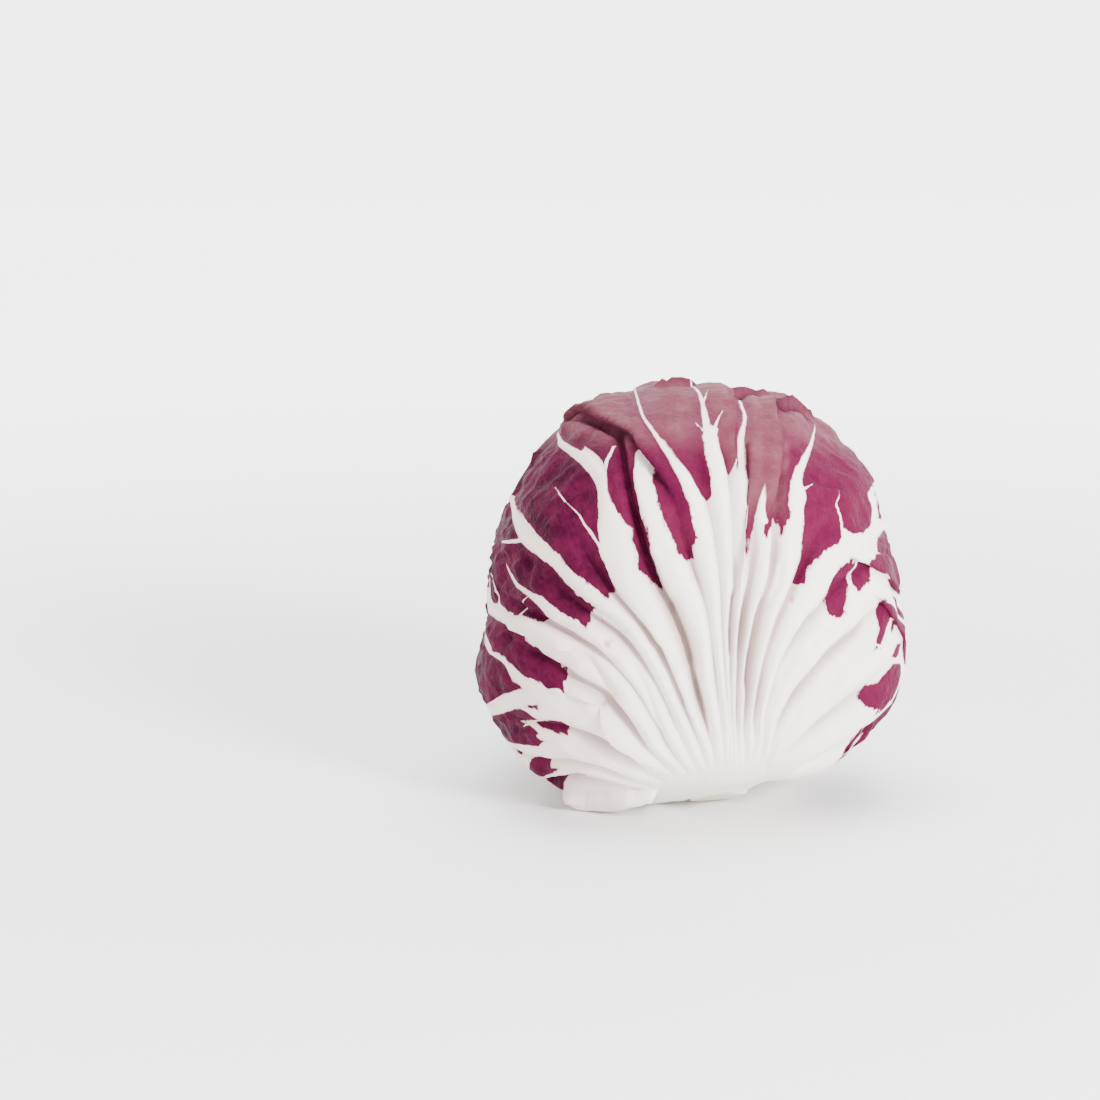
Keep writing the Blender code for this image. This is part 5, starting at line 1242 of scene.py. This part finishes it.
def build_stem(material):
    """The stub: fluted by the leaf bases that were broken off it, with a cut face that is a little sunk."""
    lean = math.acos(np.clip(-STEM[2], -1.0, 1.0))
    lowest = STEM_RADIUS * 1.05 - 1.0 * MM
    end = (CENTRE_HEIGHT - lowest * math.sin(lean)) / math.cos(lean)
    turn = np.arange(STEM_TURNS) * 2.0 * math.pi / STEM_TURNS
    points, turns, alongs, cuts = [], [], [], []
    side_rows = STEM_ROWS - CUT_ROWS
    for row in range(STEM_ROWS):
        if row < side_rows:
            t = row / (side_rows - 1.0)
            along = blend(STEM_TOP, end - ROUNDING_DROP, t)
            radius = STEM_RADIUS * blend(0.86, 1.0, smooth(t, 0.0, 0.8))
            cut = 0.0
        else:
            t = (row - side_rows + 1) / float(CUT_ROWS)
            curve = math.sin(min(t / ROUNDING_SHARE, 1.0) * math.pi / 2.0)
            along = end - ROUNDING_DROP * (1.0 - curve) - CUT_SUNK * smooth(t, ROUNDING_SHARE, 1.0)
            if t < ROUNDING_SHARE:
                radius = STEM_RADIUS * math.cos(t / ROUNDING_SHARE * ROUNDING_TURN)
            else:
                left_over = 1.0 - (t - ROUNDING_SHARE) / (1.0 - ROUNDING_SHARE)
                radius = STEM_RADIUS * math.cos(ROUNDING_TURN) * left_over + 0.05 * MM
            cut = smooth(t, 0.10, 0.34)
        flute = 0.040 * np.sin(5.0 * turn) + 0.022 * np.sin(13.0 * turn + 1.0)
        flute += 0.014 * np.sin(29.0 * turn + 0.5 + 0.5 * row / STEM_ROWS)
        wide = radius * (1.0 + flute)
        spot = np.cos(turn)[:, None] * AHEAD + np.sin(turn)[:, None] * ASIDE
        points.append(CENTRE + STEM * along + spot * wide[:, None])
        turns.append(turn)
        alongs.append(np.full(STEM_TURNS, along / MM))
        cuts.append(np.full(STEM_TURNS, cut))
    points = np.concatenate(points)
    points[:, 2] = np.maximum(points[:, 2], 0.02 * MM)
    faces = []
    for row in range(STEM_ROWS - 1):
        for k in range(STEM_TURNS):
            a, b = row * STEM_TURNS + k, row * STEM_TURNS + (k + 1) % STEM_TURNS
            faces.append((a, a + STEM_TURNS, b + STEM_TURNS, b))
    faces.append(tuple(range(STEM_TURNS)))
    last = (STEM_ROWS - 1) * STEM_TURNS
    faces.append(tuple(range(last + STEM_TURNS - 1, last - 1, -1)))
    reads = {"turn": np.concatenate(turns), "along": np.concatenate(alongs), "cut": np.concatenate(cuts)}
    add_piece("stem_stub", points, faces, reads, material, "stem")


# The studio: where the camera stands, the frame it takes in, and the lights.
CAMERA_DISTANCE = 1.0
FRAME_WIDTH = 0.3333
FRAME_SIDE = -0.0430
FRAME_ABOVE = 0.0122
SENSOR = 36.0
WORLD_STRENGTH = 0.12
LIGHTS = (
    ("overhead", (0.0, 0.0, 0.95), (0.0, 0.0, 0.05), 0.8, 20.0),
    ("front_right", (0.75, -0.95, 0.55), (0.0, 0.0, 0.06), 0.30, 42.0),
    ("front_left", (-0.75, -0.65, 0.45), (0.0, 0.0, 0.06), 0.2, 2.0),
)
FLOOR_HALF = 8.0
FLOOR_BACK = 1.6
FLOOR_BEND = 0.5
BACKDROP_HIGH = 3.0
EDGE_HIGH = 1.5
GLOW_FROM, GLOW_TO = 0.12, 0.90
GLOW_NEAR, GLOW_FAR = 0.05, 2.6


def build_camera():
    camera = bpy.data.objects.new("camera", bpy.data.cameras.new("camera"))
    bpy.context.scene.collection.objects.link(camera)
    camera.data.sensor_width = SENSOR
    camera.data.lens = SENSOR * CAMERA_DISTANCE / FRAME_WIDTH
    target = CENTRE + RIGHT * FRAME_SIDE + SIGHT_UP * FRAME_ABOVE
    camera.location = target + FRONT * CAMERA_DISTANCE
    camera.rotation_euler = Vector(-FRONT).to_track_quat("-Z", "Y").to_euler()
    bpy.context.scene.camera = camera


def area_light(name, place, aim, size, power):
    light = bpy.data.lights.new(name, "AREA")
    light.shape = "RECTANGLE"
    light.size = light.size_y = size
    light.energy = power
    item = bpy.data.objects.new(name, light)
    bpy.context.scene.collection.objects.link(item)
    item.location = place
    item.rotation_euler = (Vector(aim) - Vector(place)).to_track_quat("-Z", "Y").to_euler()


def build_studio():
    world = bpy.data.worlds.new("studio")
    bpy.context.scene.world = world
    world.use_nodes = True
    background = world.node_tree.nodes["Background"]
    background.inputs["Color"].default_value = WHITE
    background.inputs["Strength"].default_value = WORLD_STRENGTH
    for light in LIGHTS:
        area_light(*light)
    floor = bpy.data.meshes.new("floor")
    steps = [(-FLOOR_HALF, 0.0), (FLOOR_BACK, 0.0)]
    for turn in np.linspace(0.1, math.pi / 2.0, 14):
        steps.append((FLOOR_BACK + FLOOR_BEND * math.sin(turn), FLOOR_BEND * (1.0 - math.cos(turn))))
    steps.append((FLOOR_BACK + FLOOR_BEND, BACKDROP_HIGH))
    points = [(x, y, z) for y, z in steps for x in (-FLOOR_HALF, FLOOR_HALF)]
    faces = [(2 * k, 2 * k + 1, 2 * k + 3, 2 * k + 2) for k in range(len(steps) - 1)]
    front_left, front_right = (-FLOOR_HALF, -FLOOR_HALF), (FLOOR_HALF, -FLOOR_HALF)
    back_left, back_right = (-FLOOR_HALF, FLOOR_BACK), (FLOOR_HALF, FLOOR_BACK)
    for a, b in ((front_left, front_right), (front_right, back_right), (back_left, front_left)):
        count = len(points)
        points += [(*a, 0.0), (*b, 0.0), (*b, EDGE_HIGH), (*a, EDGE_HIGH)]
        faces.append((count, count + 1, count + 2, count + 3))
    floor.from_pydata(points, [], faces)
    floor.shade_smooth()
    # Painted light: the floor and backdrop glow, dim near the head and rising to white further off.
    n = Nodes("floor_white")
    where = n.tree.nodes.new("ShaderNodeTexCoord").outputs["Object"]
    far = n.tree.nodes.new("ShaderNodeVectorMath")
    far.operation = "LENGTH"
    n.link(where, far.inputs[0])
    glow = n.span(far.outputs["Value"], GLOW_FROM, GLOW_TO, GLOW_NEAR, GLOW_FAR)
    floor.materials.append(n.finish(Base_Color=FLOOR_WHITE, Roughness=0.7, Emission_Color=WHITE,
                                    Emission_Strength=glow))
    item = bpy.data.objects.new("floor", floor)
    bpy.context.scene.collection.objects.link(item)


# The leaves behind the front one, from the outside in: name, angle round the stem, layer, length and
# width in degrees round the head, seed, how far the margin flares, and the spacing of the mesh.
FAN_RIBS = 9
FAN_LEAVES = (
    ("leaf_back_right", 137.0, 1, 93.0, 92.0, 11, 2.4 * MM, 0.9 * MM),
    ("leaf_left", -100.0, 2, 92.0, 90.0, 12, 2.6 * MM, 0.9 * MM),
    ("leaf_right", 50.0, 3, 100.0, 82.0, 13, 1.5 * MM, 1.2 * MM),
    ("leaf_back_left", -160.0, 4, 118.0, 84.0, 14, 1.5 * MM, 1.2 * MM),
)


def main():
    build_camera()
    depth = Depth()
    wine = leaf_material()
    build_leaf(front_leaf(), depth, 0.62 * MM, 0.75 * MM, wine)
    for name, azimuth, layer, length, width, seed, flare, spacing in FAN_LEAVES:
        leaf = fan_leaf(name, azimuth, layer, length, width, FAN_RIBS, seed, flare)
        build_leaf(leaf, depth, spacing, spacing, wine)
    build_heart(depth, inner_material())
    build_stem(stem_material())
    build_studio()


main()
